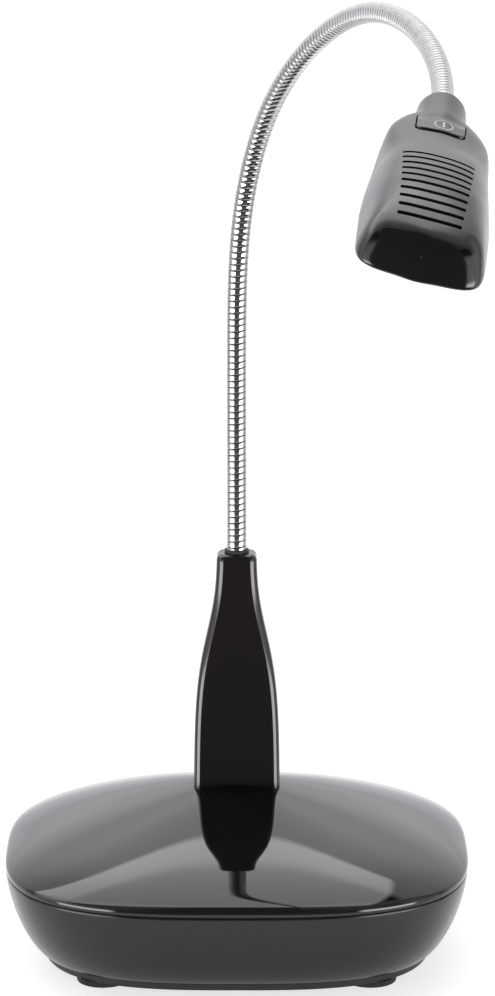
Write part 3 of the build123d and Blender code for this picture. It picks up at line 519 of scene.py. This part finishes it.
# one turn of the winding, from the middle of a gap to the middle of the wire's face
HALF_TURN = [(0.0, 3.45), (0.045, 3.56), (0.10, 3.74), (0.17, 3.85), (0.27, 3.905),
             (0.45, 3.945), (0.80, 3.98), (1.2675, 4.0)]
BULGE = [d / PITCH for d, _ in HALF_TURN] + [1 - d / PITCH for d, _ in HALF_TURN[-2:0:-1]]
BULGE_R = [r for _, r in HALF_TURN] + [r for _, r in HALF_TURN[-2:0:-1]]
# how strongly each row of a turn is darkened by painted shade, 1 in the middle of the gap
GROOVE_SHADE = [1.0, 0.95, 0.7, 0.25] + [0.0] * (len(BULGE) - 7) + [0.25, 0.7, 0.95]
NECK_STARTS, NECK_IN_HEAD = [(0, 0, 148.0), (0, 0, 164.0)], 8.0
route = NECK_STARTS + BENDS + [HEAD_AT, head_point(NECK_IN_HEAD, 0, 0)]
stops, neck_line = spline(route, (0, 0, 1), HEAD_F)
fine = np.linspace(0, stops[-1], 3000)    # close steps along the middle line
fine_points = neck_line(fine)
fine_length = np.r_[0, np.cumsum(np.linalg.norm(np.diff(fine_points, axis=0), axis=1))]
tangents = np.gradient(fine_points, fine_length, axis=0)
tangents /= np.linalg.norm(tangents, axis=1)[:, None]
side = np.zeros_like(tangents)
side[0] = (1, 0, 0)
for k in range(1, len(side)):
    carried = side[k - 1] - tangents[k] * side[k - 1].dot(tangents[k])
    side[k] = carried / np.linalg.norm(carried)
other = np.cross(tangents, side)


def along(length, table):
    return np.stack([np.interp(length, fine_length, table[:, k]) for k in range(3)], -1)


def coil(name, low, high):
    """A stretch of the wound neck: a thread with one bulge to each turn."""
    first, last = round(low / PITCH * TURN_STEPS), round(high / PITCH * TURN_STEPS)
    columns = np.arange(first, last + 1)
    rows = len(BULGE)
    points = []
    for j in range(rows):
        length = (columns / TURN_STEPS + BULGE[j]) * PITCH
        angle = 2 * pi * columns / TURN_STEPS
        centre = along(length, fine_points)
        a, b = along(length, side), along(length, other)
        outward = a * np.cos(angle)[:, None] + b * np.sin(angle)[:, None]
        points.append(centre + BULGE_R[j] * outward)
    grid = np.stack(points, 1)
    count = len(columns)
    faces = []
    for i in range(count - 1):
        for j in range(rows - 1):
            here, ahead = i * rows + j, (i + 1) * rows + j
            faces.append((here, here + 1, ahead + 1, ahead))
        if i + 1 + TURN_STEPS < count:
            faces.append((i * rows + rows - 1, (i + TURN_STEPS) * rows,
                          (i + 1 + TURN_STEPS) * rows, (i + 1) * rows + rows - 1))
    mesh = bpy.data.meshes.new(name)
    mesh.from_pydata((grid.reshape(-1, 3) * MM + BASE_AT).tolist(), [], faces)
    # each point carries its painted shade weight, read by the chrome material
    attribute = mesh.attributes.new("groove", "FLOAT", "POINT")
    attribute.data.foreach_set("value", np.tile(GROOVE_SHADE, count).astype(np.float32))
    work = bmesh.new()
    work.from_mesh(mesh)
    edges = [e for e in work.edges if e.is_boundary]
    bmesh.ops.holes_fill(work, edges=edges, sides=0)
    bmesh.ops.recalc_face_normals(work, faces=work.faces)
    work.to_mesh(mesh)
    work.free()
    mesh.shade_smooth()
    mesh.set_sharp_from_angle(angle=radians(COIL_SHARP))
    mesh.materials.append(chrome)
    obj = bpy.data.objects.new(name, mesh)
    bpy.context.scene.collection.objects.link(obj)
    return obj


bend_at = [float(np.interp(s, fine, fine_length)) for s in stops[len(NECK_STARTS):-2]]
NECK_LOW, NECK_HIGH = 8.0, fine_length[-1] - 6.0
cuts = [NECK_LOW] + [(a + b) / 2 for a, b in zip(bend_at, bend_at[1:])] + [NECK_HIGH]
for k in range(8):
    piece = coil(f"coil_{k}", cuts[k], cuts[k + 1])
    middle = along(bend_at[k], fine_points)
    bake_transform(piece)
    hidden = [f"neck_{k}", f"wire_{k}"] + (["neck_8", "wire_8"] if k == 7 else [])
    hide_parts(*hidden)

# ---------------------------------------------------------------- head
section = steady([row[0] for row in HEAD_SECTIONS], np.array([row[1:] for row in HEAD_SECTIONS]))
TOP_COLUMNS, BOTTOM_COLUMNS = 120, 80
FACET = np.array(FACET_DIR) / np.linalg.norm(FACET_DIR)
CAP_U, CAP_V, CAP_PROUD, CAP_FRONT_GAP = (18.8, 30.4), 8.2, 0.6, 1.2   # the button as it looks
# the round back: how softly it joins the skin, where it falls away and by how much
BACK_SOFT, BACK_U, BACK_DROP = 1.6, (15.0, 31.0), 1.9
# the sides: their lean, the height it turns about, where it comes in, how soft the shoulder is
LEAN, LEAN_LOW, LEAN_U, SHOULDER = radians(22), -9.0, (14.0, 50.0), 5.0
MIDDLE, MIDDLE_LOW = 1.2, 0.6      # how far the middle line moves to the right, in two steps
MIDDLE_U = (8.0, 50.0, 110.0)


def soft_min(a, b, soft):
    near = np.maximum(soft - np.abs(a - b), 0) / soft
    return np.minimum(a, b) - near * near * soft / 4


def eased(value, low, high):
    t = np.clip((value - low) / (high - low), 0, 1)
    return t * t * (3 - 2 * t)


def head_middle(u):
    """How far to the right the head's middle line is at u."""
    return MIDDLE * eased(u, *MIDDLE_U[:2]) + MIDDLE_LOW * eased(u, *MIDDLE_U[1:])


def head_radius(u, angle):
    """From the waist to the skin at u, in the direction angle; and the waist's height."""
    half, top, waist, bottom, top_power, bottom_power = np.moveaxis(section(u), -1, 0)
    half = half + head_middle(u)
    c, s = np.cos(angle), np.sin(angle)
    tall = np.where(s >= 0, top - waist, waist - bottom)
    power = np.where(s >= 0, top_power, bottom_power)
    r = (np.abs(c / half) ** power + np.abs(s / tall) ** power) ** (-1 / power)
    # the sides lean inwards above the lower edge
    lean = eased(u, *LEAN_U) * LEAN
    reach = half * np.cos(lean) + (LEAN_LOW - waist) * np.sin(lean)
    side = reach / np.maximum(np.abs(c) * np.cos(lean) + s * np.sin(lean), 1e-3)
    r = soft_min(r, side, 0.02 + SHOULDER * eased(u, *LEAN_U))
    # the round back runs on under the button
    back_r = BUTTON_TOP - BACK_DROP * eased(u, *BACK_U)
    back = np.sqrt(np.maximum((s * waist) ** 2 + back_r ** 2 - waist ** 2, 0)) - s * waist
    back = np.where((s > 0) & (u < BACK_U[1] + 2), back, 0)
    return -soft_min(-r, -back, BACK_SOFT), waist


def head_surface(u, angle):
    """(v, w) of the head's skin at u, in the direction angle round its axis."""
    r, waist = head_radius(u, angle)
    return head_middle(u) + r * np.cos(angle), waist + r * np.sin(angle)


def seam_angle(u):
    """The direction in which the skin crosses the seam between the two shells."""
    low, high = -pi / 2, pi / 2
    for _ in range(40):
        mid = (low + high) / 2
        if head_surface(u, np.array(mid))[1] < HEAD_SPLIT:
            low = mid
        else:
            high = mid
    return (low + high) / 2


def column_angles(u):
    seam = seam_angle(u)
    top = np.linspace(seam, pi - seam, TOP_COLUMNS + 1)[:-1]
    bottom = np.linspace(pi - seam, 2 * pi + seam, BOTTOM_COLUMNS + 1)[:-1]
    return np.concatenate([top, bottom])


COLUMNS = TOP_COLUMNS + BOTTOM_COLUMNS
BACK_ROWS, NOSE_ROWS, FACE_ROWS = 120, 26, 40
NOSE_FROM, NOSE_REACH = 96.0, 30.0   # ahead of here the skin runs round into the flat front
COVER_THICK = 1.8


def nose_level(u, v, w, soft):
    """Under 0 inside the head's nose: the lofted skin cut by the flat front, softly joined."""
    waist = section(u)[..., 2]
    v = v - head_middle(u)
    angle = np.arctan2(w - waist, v)
    skin_side = np.hypot(v, w - waist) - head_radius(u, angle)[0]
    flat_side = (u - FACET_AT[0]) * FACET[0] + (w - FACET_AT[1]) * FACET[1]
    near = np.maximum(soft - np.abs(skin_side - flat_side), 0) / soft
    return np.maximum(skin_side, flat_side) + near * near * soft / 4


skin = []
for u in np.linspace(0, NOSE_FROM, BACK_ROWS):
    v, w = head_surface(u, column_angles(u))
    skin.append(np.stack([np.full(COLUMNS, u), v, w], 1))
nose_heart = np.array([NOSE_FROM, head_middle(NOSE_FROM), section(NOSE_FROM)[2]])
nose_angles = np.arctan2(skin[-1][:, 2] - nose_heart[2], skin[-1][:, 1] - nose_heart[1])
upward = np.sin(nose_angles)
SOFT_TOP, SOFT_SIDE, SOFT_LOW = 4.5, 7.5, 3.2   # how soft the front's edge is all round
nose_soft = np.where(
    upward > 0, SOFT_SIDE + (SOFT_TOP - SOFT_SIDE) * upward ** 2,
    SOFT_SIDE + (SOFT_LOW - SOFT_SIDE) * upward ** 2,
)


def nose_points(turn):
    """The skin in the directions turn away from straight ahead, one for each column."""
    way = np.stack([np.cos(turn) + 0 * nose_angles, np.sin(turn) * np.cos(nose_angles),
                    np.sin(turn) * np.sin(nose_angles)], 1)
    low, high = np.zeros(COLUMNS), np.full(COLUMNS, NOSE_REACH)
    for _ in range(34):
        mid = (low + high) / 2
        at = nose_heart + way * mid[:, None]
        inside = nose_level(np.minimum(at[:, 0], HEAD_SECTIONS[-1][0]), at[:, 1], at[:, 2],
                            nose_soft) < 0
        low, high = np.where(inside, mid, low), np.where(inside, high, mid)
    return nose_heart + way * ((low + high) / 2)[:, None]


def past_cover(points):
    return ((points[:, 0] - FACET_AT[0]) * FACET[0] + (points[:, 2] - FACET_AT[1]) * FACET[1]
            > -COVER_THICK)


low, high = np.full(COLUMNS, 0.3), np.full(COLUMNS, pi / 2)
for _ in range(18):                # where each column reaches the back of the front cover
    mid = (low + high) / 2
    there = past_cover(nose_points(mid))
    low, high = np.where(there, mid, low), np.where(there, high, mid)
cover_turn = (low + high) / 2
for t in np.linspace(0, 1, NOSE_ROWS + 1)[1:]:
    skin.append(nose_points(pi / 2 + (cover_turn - pi / 2) * t))
FACE_SPREAD, FACE_TIP = 1.1, 0.004
for t in np.linspace(0, 1, FACE_ROWS + 1)[1:]:
    skin.append(nose_points(cover_turn * (1 - t) ** FACE_SPREAD + FACE_TIP))
skin = np.array(skin)
head_skin = head_point(skin[..., 0], skin[..., 1], skin[..., 2])


SIDE_ROW = 20                      # a row whose points lie round the middle line


def grid_normals(grid):
    """Outward normals of a closed grid of rows and columns."""
    along_rows = np.gradient(grid, axis=0)
    round_it = np.roll(grid, -1, axis=1) - np.roll(grid, 1, axis=1)
    normal = np.cross(along_rows, round_it)
    normal /= np.maximum(np.linalg.norm(normal, axis=2)[..., None], 1e-12)
    out = grid - grid.mean(axis=1, keepdims=True)
    if (normal[SIDE_ROW] * out[SIDE_ROW]).sum() < 0:
        normal = -normal
    return normal


head_normals = grid_normals(head_skin)
ref_points = head_skin.reshape(-1, 3)
ref_normals = head_normals.reshape(-1, 3)
ref_faces = ring_faces(head_skin.shape[0], COLUMNS)
ref_tree = BVHTree.FromPolygons(ref_points.tolist(), ref_faces)


def skin_normal(point):
    """The smooth normal of the head's skin nearest a point, and how far away the skin is."""
    hit, _, index, distance = ref_tree.find_nearest(Vector(point))
    ids = ref_faces[index]
    near = np.linalg.norm(ref_points[list(ids)] - np.array(hit), axis=1)
    weights = 1 / (near + 1e-4)
    normal = (ref_normals[list(ids)] * weights[:, None]).sum(0)
    return normal / np.linalg.norm(normal), distance


ON_SKIN, ALONG_SKIN = 0.4, 0.8     # a face within this distance and this cosine is on the skin


def set_skin_normals(obj):
    """Shades the outer faces by the uncut skin, so that no cut shows as a dent beside it."""
    mesh = obj.data
    co = np.array([tuple(v.co) for v in mesh.vertices]) / MM - BASE_AT / MM
    cache, normals = {}, []
    for polygon in mesh.polygons:
        centre = co[list(polygon.vertices)].mean(0)
        wanted, distance = skin_normal(centre)
        along_it = wanted.dot(np.array(polygon.normal)) > ALONG_SKIN
        outer_face = distance < ON_SKIN and along_it
        for index in polygon.vertices:
            if outer_face:
                if index not in cache:
                    cache[index] = skin_normal(co[index])[0]
                normals.append(tuple(cache[index]))
            else:
                normals.append(tuple(polygon.normal))
    mesh.normals_split_custom_set(normals)


def cut(obj, cutters):
    """Takes closed cutter meshes away from obj, whose own frame is the row frame."""
    mesh = bpy.data.meshes.new("cutter")
    points, faces, start = [], [], 0
    for some_points, some_faces in cutters:
        points += (np.asarray(some_points).reshape(-1, 3) * MM + BASE_AT).tolist()
        faces += [tuple(start + k for k in f) for f in some_faces]
        start = len(points)
    mesh.from_pydata(points, [], faces)
    work = bmesh.new()
    work.from_mesh(mesh)
    bmesh.ops.recalc_face_normals(work, faces=work.faces)
    work.to_mesh(mesh)
    work.free()
    tool = bpy.data.objects.new("cutter", mesh)
    bpy.context.scene.collection.objects.link(tool)
    modifier = obj.modifiers.new("cut", "BOOLEAN")
    modifier.operation, modifier.solver, modifier.object = "DIFFERENCE", "EXACT", tool
    graph = bpy.context.evaluated_depsgraph_get()
    result = bpy.data.meshes.new_from_object(obj.evaluated_get(graph))
    obj.modifiers.clear()
    obj.data = result
    bpy.data.objects.remove(tool)


def prism(outline_points, low, high):
    """A closed prism in the head frame from an outline of (u, v) points."""
    flat = np.asarray(outline_points, float)
    rings = [head_point(flat[:, 0], flat[:, 1], np.full(len(flat), w)) for w in (low, high)]
    return capped(rings)


def round_rect(u0, u1, half_v, radii, steps=8):
    """(u, v) points; radii are for the back and the front corners."""
    points = []
    for cu, cv, start, r in (
        (u1, half_v, 0, radii[1]), (u0, half_v, 1, radii[0]),
        (u0, -half_v, 2, radii[0]), (u1, -half_v, 3, radii[1]),
    ):
        su, sv = (-1 if cu == u1 else 1), (-1 if cv > 0 else 1)
        for k in range(steps + 1):
            a = (start + k / steps) * pi / 2
            points.append((cu + su * r + r * cos(a), cv + sv * r + r * sin(a)))
    return points


WALL = 1.8
body_rows = BACK_ROWS + NOSE_ROWS  # rows of the skin behind the front cover
top_columns = np.arange(0, TOP_COLUMNS + 1)
low_columns = np.arange(TOP_COLUMNS, COLUMNS + 1) % COLUMNS


def shell_piece(name, columns, node, cutters):
    """One of the head's two shells, a wall under some columns of the skin."""
    outer = head_skin[:body_rows, columns]
    normal = head_normals[:body_rows, columns]
    points, faces = thick_patch(outer, outer - normal * WALL, False)
    shell = add_mesh(name, points, faces, head_satin)
    cut(shell, cutters)
    set_skin_normals(shell)
    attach(shell, "head")
    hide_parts(node)


# how low and how high each cutter reaches in the head frame, and its corners
SLOT_DEPTH, BUTTON_DEPTH, LENS_DEPTH = (0.5, 12), (1.5, 12), (-15, -9)
SLOT_CORNERS, LENS_CORNERS = (0.3, 0.3), (1.0, 1.0)
SLOT_SHIFT = 0.8                   # of the head's own shift to the right
HOLE_GAP = 0.1                     # round the lens and behind the button

slots = []
for k in range(SLOTS):
    u = SLOT_FIRST + SLOT_STEP * k
    half = SLOT_HALF - SLOT_TAPER * k
    slot_rim = np.array(round_rect(u - SLOT_WIDE / 2, u + SLOT_WIDE / 2, half, SLOT_CORNERS, 2))
    slots.append(prism(slot_rim + (0, head_middle(u) * SLOT_SHIFT), *SLOT_DEPTH))
button_rim = round_rect(CAP_U[0] - HOLE_GAP, CAP_U[1] + CAP_FRONT_GAP, CAP_V + BUTTON_GAP,
                        (HOLE_GAP, BUTTON_CORNER + BUTTON_GAP))
button_hole = prism(button_rim, *BUTTON_DEPTH)
shell_piece("head_top_shell", top_columns, "head_top", slots + [button_hole])
lens_rim = round_rect(LENS_U[0] - HOLE_GAP, LENS_U[1] + HOLE_GAP, LENS_V + HOLE_GAP, LENS_CORNERS)
shell_piece("head_bottom_shell", low_columns, "head_bottom", [prism(lens_rim, *LENS_DEPTH)])

# front cover: the rounded edge and the flat face, closed in the middle
outer = head_skin[body_rows - 1:]
inner = outer - head_normals[body_rows - 1:] * WALL
points, faces = thick_patch(outer, inner, True)
tip = (outer.shape[0] - 1) * COLUMNS
back = outer.shape[0] * COLUMNS
tip_ids = set(range(tip, tip + COLUMNS))
faces = [f for f in faces if not (set(f) & tip_ids and any(i >= back for i in f))]
faces.append(tuple(range(tip, tip + COLUMNS)))
faces.append(tuple(back + tip + k for k in range(COLUMNS)))
cover = add_mesh("front_cover_cap", points, faces, head_gloss)
set_skin_normals(cover)
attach(cover, "head")
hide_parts("front_cover")

# collar where the neck enters: (distance along, radius) round its rounded end
COLLAR = [(0.6, 7.9), (0.0, 7.95), (-1.0, 7.9), (-2.2, 7.7), (-3.2, 7.2), (-3.8, 6.4),
          (-4.0, 5.4), (-4.0, 4.3), (-3.4, 4.05), (0.6, 4.05)]
COLLAR_ROUND = 64
a = 2 * pi * np.arange(COLLAR_ROUND) / COLLAR_ROUND
rings = [head_point(np.full(COLLAR_ROUND, u), r * np.cos(a), r * np.sin(a)) for u, r in COLLAR]
points, faces = looped(rings)
add_mesh("collar", points, faces, head_satin, "head", ["head_collar"], sharp=40)


# power button: cut from the round back, a little proud of it towards the front
def skin_height(u, v):
    """How high the skin's top is at (u, v)."""
    angles = np.linspace(0, pi, 361)
    heights = []
    for one_u, one_v in zip(np.ravel(u), np.ravel(v)):
        across, up = head_surface(one_u, angles)
        heights.append(np.interp(one_v, across[::-1], up[::-1]))
    return np.reshape(heights, np.shape(u))


def cap_level(u, v):
    return skin_height(u, v) + CAP_PROUD * eased(u, CAP_U[0], CAP_U[0] + CAP_RISE)


CAP_RISE, EDGE_RISE = 6, 4         # how far from its back the cap and its edge reach their full height
CAP_BACK_CORNER, CAP_ROUND = 0.3, 160
# (inset, drop below the cap's level) down its rounded edge and then over its top
CAP_RINGS = [(0, 3.0), (0, 0.5), (0.06, 0.3), (0.18, 0.12), (0.34, 0.03), (0.55, 0),
             (1.2, 0), (2.0, 0), (2.8, 0), (3.6, 0), (4.4, 0), (5.1, 0), (5.6, 0)]

rim = np.array(round_rect(*CAP_U, CAP_V, (CAP_BACK_CORNER, BUTTON_CORNER)))
lengths = np.r_[0, np.cumsum(np.linalg.norm(np.diff(rim, axis=0, append=rim[:1]), axis=1))]
even = np.linspace(0, lengths[-1], CAP_ROUND + 1)[:-1]
rim = np.stack([np.interp(even, lengths, np.r_[rim[:, c], rim[0, c]]) for c in (0, 1)], 1)
middle, span = (rim.max(0) + rim.min(0)) / 2, (rim.max(0) - rim.min(0)) / 2
rings = []
for inset, drop in CAP_RINGS:
    flat = middle + (rim - middle) * (1 - inset / span)
    if drop < 1:                   # no rounded edge at the back, where the cap meets the skin
        drop = drop * eased(flat[:, 0], CAP_U[0], CAP_U[0] + EDGE_RISE)
    rings.append(head_point(flat[:, 0], flat[:, 1], cap_level(flat[:, 0], flat[:, 1]) - drop))
points, faces = capped(rings)
add_mesh("button_cap", points, faces, head_satin, "power_button",
         ["power_button"], sharp=50)

# the mark: a plain on/off ring and bar, printed on the cap
MARK_AT, MARK_R, MARK_LINE, BAR_HALF, BAR_WIDE = (25.6, 0.7), 3.3, 0.42, 1.9, 0.8
MARK_ROUND, MARK_LIFT, BAR_LIFT, MARK_SINK = 72, 0.06, 0.05, 0.01
MARK_INNER = MARK_R - MARK_LINE
a = 2 * pi * np.arange(MARK_ROUND) / MARK_ROUND
rings = []
for r, lift in [(MARK_R, 0.0), (MARK_R, MARK_LIFT), (MARK_INNER, MARK_LIFT), (MARK_INNER, 0.0)]:
    u, v = MARK_AT[0] + r * np.cos(a), MARK_AT[1] + r * np.sin(a)
    rings.append(head_point(u, v, cap_level(u, v) + lift - MARK_SINK))
points, faces = looped(rings)
add_mesh("mark_ring", points, faces, mark_white, "power_button", sharp=40)
bar = np.array(round_rect(MARK_AT[0] - BAR_HALF, MARK_AT[0] + BAR_HALF, BAR_WIDE / 2,
                          (0.2, 0.2), 4)) + (0, MARK_AT[1])
rings = [head_point(bar[:, 0], bar[:, 1], cap_level(bar[:, 0], bar[:, 1]) + lift)
         for lift in (-MARK_SINK, BAR_LIFT)]
points, faces = capped(rings)
add_mesh("mark_bar", points, faces, mark_white, "power_button", sharp=40)

# ---------------------------------------------------------------- floor, light, camera
FLOOR_GREY, FLOOR_GLOW = 0.42, 0.72   # it glows a little, so that it stays pale
FLOOR_R, FLOOR_BACK = 0.215, 3.5    # rounded close in front of the base, and running far back
FLOOR_TURN = 1.5                    # of its arc to either side, in radians
floor_material, shader, tree = new_material("floor", (FLOOR_GREY,) * 3, 0.9)
shader.inputs["Emission Color"].default_value = (1, 1, 1, 1)
shader.inputs["Emission Strength"].default_value = FLOOR_GLOW
mesh = bpy.data.meshes.new("floor")
arc = [
    (FLOOR_R * sin(t), BASE_AT[1] - FLOOR_R * cos(t), 0)
    for t in np.linspace(-FLOOR_TURN, FLOOR_TURN, 61)
]
arc += [(FLOOR_BACK, FLOOR_BACK, 0), (-FLOOR_BACK, FLOOR_BACK, 0)]
mesh.from_pydata(arc, [], [tuple(range(len(arc)))])
mesh.materials.append(floor_material)
floor = bpy.data.objects.new("floor", mesh)
bpy.context.scene.collection.objects.link(floor)


world = bpy.data.worlds.new("studio")
bpy.context.scene.world = world
world.use_nodes = True
sky = world.node_tree


def sky_math(operation, a, b=None):
    node = sky.nodes.new("ShaderNodeMath")
    node.operation = operation
    for socket, value in zip(node.inputs, (a, b)):
        if isinstance(value, (int, float)):
            socket.default_value = value
        elif value is not None:
            sky.links.new(value, socket)
    return node.outputs[0]


def sky_ramp(value, low, high, from_value=0.0, to_value=1.0):
    """Runs smoothly from one value to the other as the input goes from low to high."""
    node = sky.nodes.new("ShaderNodeMapRange")
    node.interpolation_type = "SMOOTHSTEP"
    for key, number in (("From Min", low), ("From Max", high), ("To Min", from_value),
                        ("To Max", to_value)):
        node.inputs[key].default_value = number
    sky.links.new(value, node.inputs["Value"])
    return node.outputs[0]


place = sky.nodes.new("ShaderNodeTexCoord")
split = sky.nodes.new("ShaderNodeSeparateXYZ")
sky.links.new(place.outputs["Generated"], split.inputs[0])
east, north, up = split.outputs
DEGREES = 180 / pi
height = sky_math("MULTIPLY", sky_math("ARCSINE", up), DEGREES)            # degrees up
turn = sky_math("MULTIPLY", sky_math("ARCTAN2", east, north), DEGREES)     # 0 at the back, + right
swing = sky_math("ABSOLUTE", turn)


def window(limits, soft, glow=None):
    """1 where every value lies between its two limits, with soft edges; times glow, if given."""
    for value, (low, high) in limits:
        start = sky_ramp(value, low - soft, low + soft)
        glow = sky_math("MULTIPLY", glow, start) if glow else start
        glow = sky_math("MULTIPLY", glow, sky_ramp(value, high - soft, high + soft, 1, 0))
    return glow


def tinted(glow, level, color):
    node = sky.nodes.new("ShaderNodeVectorMath")
    node.operation = "SCALE"
    node.inputs[0].default_value = [c * level for c in color]
    sky.links.new(glow, node.inputs["Scale"])
    return node.outputs["Vector"]


def panel(azimuths, heights, soft, level, color=(1, 1, 1), bearing=None):
    """A softly edged light panel: its level, tinted, between two bearings and two heights."""
    return tinted(window([(bearing or swing, azimuths), (height, heights)], soft), level, color)


def total(vectors):
    result = vectors[0]
    for vector in vectors[1:]:
        node = sky.nodes.new("ShaderNodeVectorMath")
        node.operation = "ADD"
        sky.links.new(result, node.inputs[0])
        sky.links.new(vector, node.inputs[1])
        result = node.outputs["Vector"]
    return result


LEAST_UP = 0.02
flat_x = sky_math("DIVIDE", east, sky_math("MAXIMUM", up, LEAST_UP))       # on a ceiling 1 up
flat_y = sky_math("DIVIDE", north, sky_math("MAXIMUM", up, LEAST_UP))
is_up = sky_ramp(up, 0.1, 0.2)


def ceiling(xs, ys, soft, level, color=(1, 1, 1)):
    """A softly edged rectangle overhead, in the flat co-ordinates of a ceiling."""
    return tinted(window([(flat_x, xs), (flat_y, ys)], soft, is_up), level, color)


# (bearings, heights, softness, level, tint)
light = total([
    panel((-10, 64), (-95, 11), 3, 1.2, (1.0, 0.985, 1.03)),                 # far table and wall
    panel((-10, 64), (11, 60), 2.5, 1.25, (1.0, 0.99, 1.01)),                # backdrop
    panel((-24, 21), (30, 62), 9, 0.75, (1.0, 0.99, 1.0), turn),             # brighter middle
    ceiling((-1.5, 0.38), (-0.05, 0.76), 0.03, 2.8, (1.0, 0.99, 0.96)),      # overhead softbox
    panel((64, 76), (-95, 50), 2, 0.25),                                     # dark strip
    panel((76, 106), (-95, 50), 2, 1.1),                                     # left and right
    panel((106, 148), (-32, -7), 3, 9.0),                                    # beside the camera
    panel((106, 148), (-7, 28), 3, 1.8),                                     # dimmer above it
    panel((148, 190), (-95, 95), 3, 0.14),                                   # dim front
    panel((64, 148), (50, 95), 3, 0.5),                                      # high at the sides
])
# what the camera sees past the lamp is plain white; all else is lit by the panels
background = sky.nodes["Background"]
sky.links.new(light, background.inputs["Color"])
white_out = sky.nodes.new("ShaderNodeBackground")
white_out.inputs["Color"].default_value = (1, 1, 1, 1)
seen = sky.nodes.new("ShaderNodeLightPath")
choose = sky.nodes.new("ShaderNodeMixShader")
sky.links.new(seen.outputs["Is Camera Ray"], choose.inputs[0])
sky.links.new(background.outputs[0], choose.inputs[1])
sky.links.new(white_out.outputs[0], choose.inputs[2])
sky.links.new(choose.outputs[0], sky.nodes["World Output"].inputs["Surface"])

CAMERA_AT, CAMERA_DOWN = (0.0043, -1.7453, 0.6043), 13.517   # metres from the base; degrees
SENSOR, LENS, CLIP = 36.0, 162.65, 50
camera = bpy.data.objects.new("camera", bpy.data.cameras.new("camera"))
bpy.context.scene.collection.objects.link(camera)
camera.data.sensor_fit = "VERTICAL"
camera.data.sensor_height = SENSOR
camera.data.lens = LENS
camera.data.clip_end = CLIP
camera.location = (CAMERA_AT[0], CAMERA_AT[1] + BASE_AT[1], CAMERA_AT[2])
camera.rotation_euler = (radians(90 - CAMERA_DOWN), 0, 0)
bpy.context.scene.camera = camera
bpy.context.scene.view_settings.view_transform = "Standard"
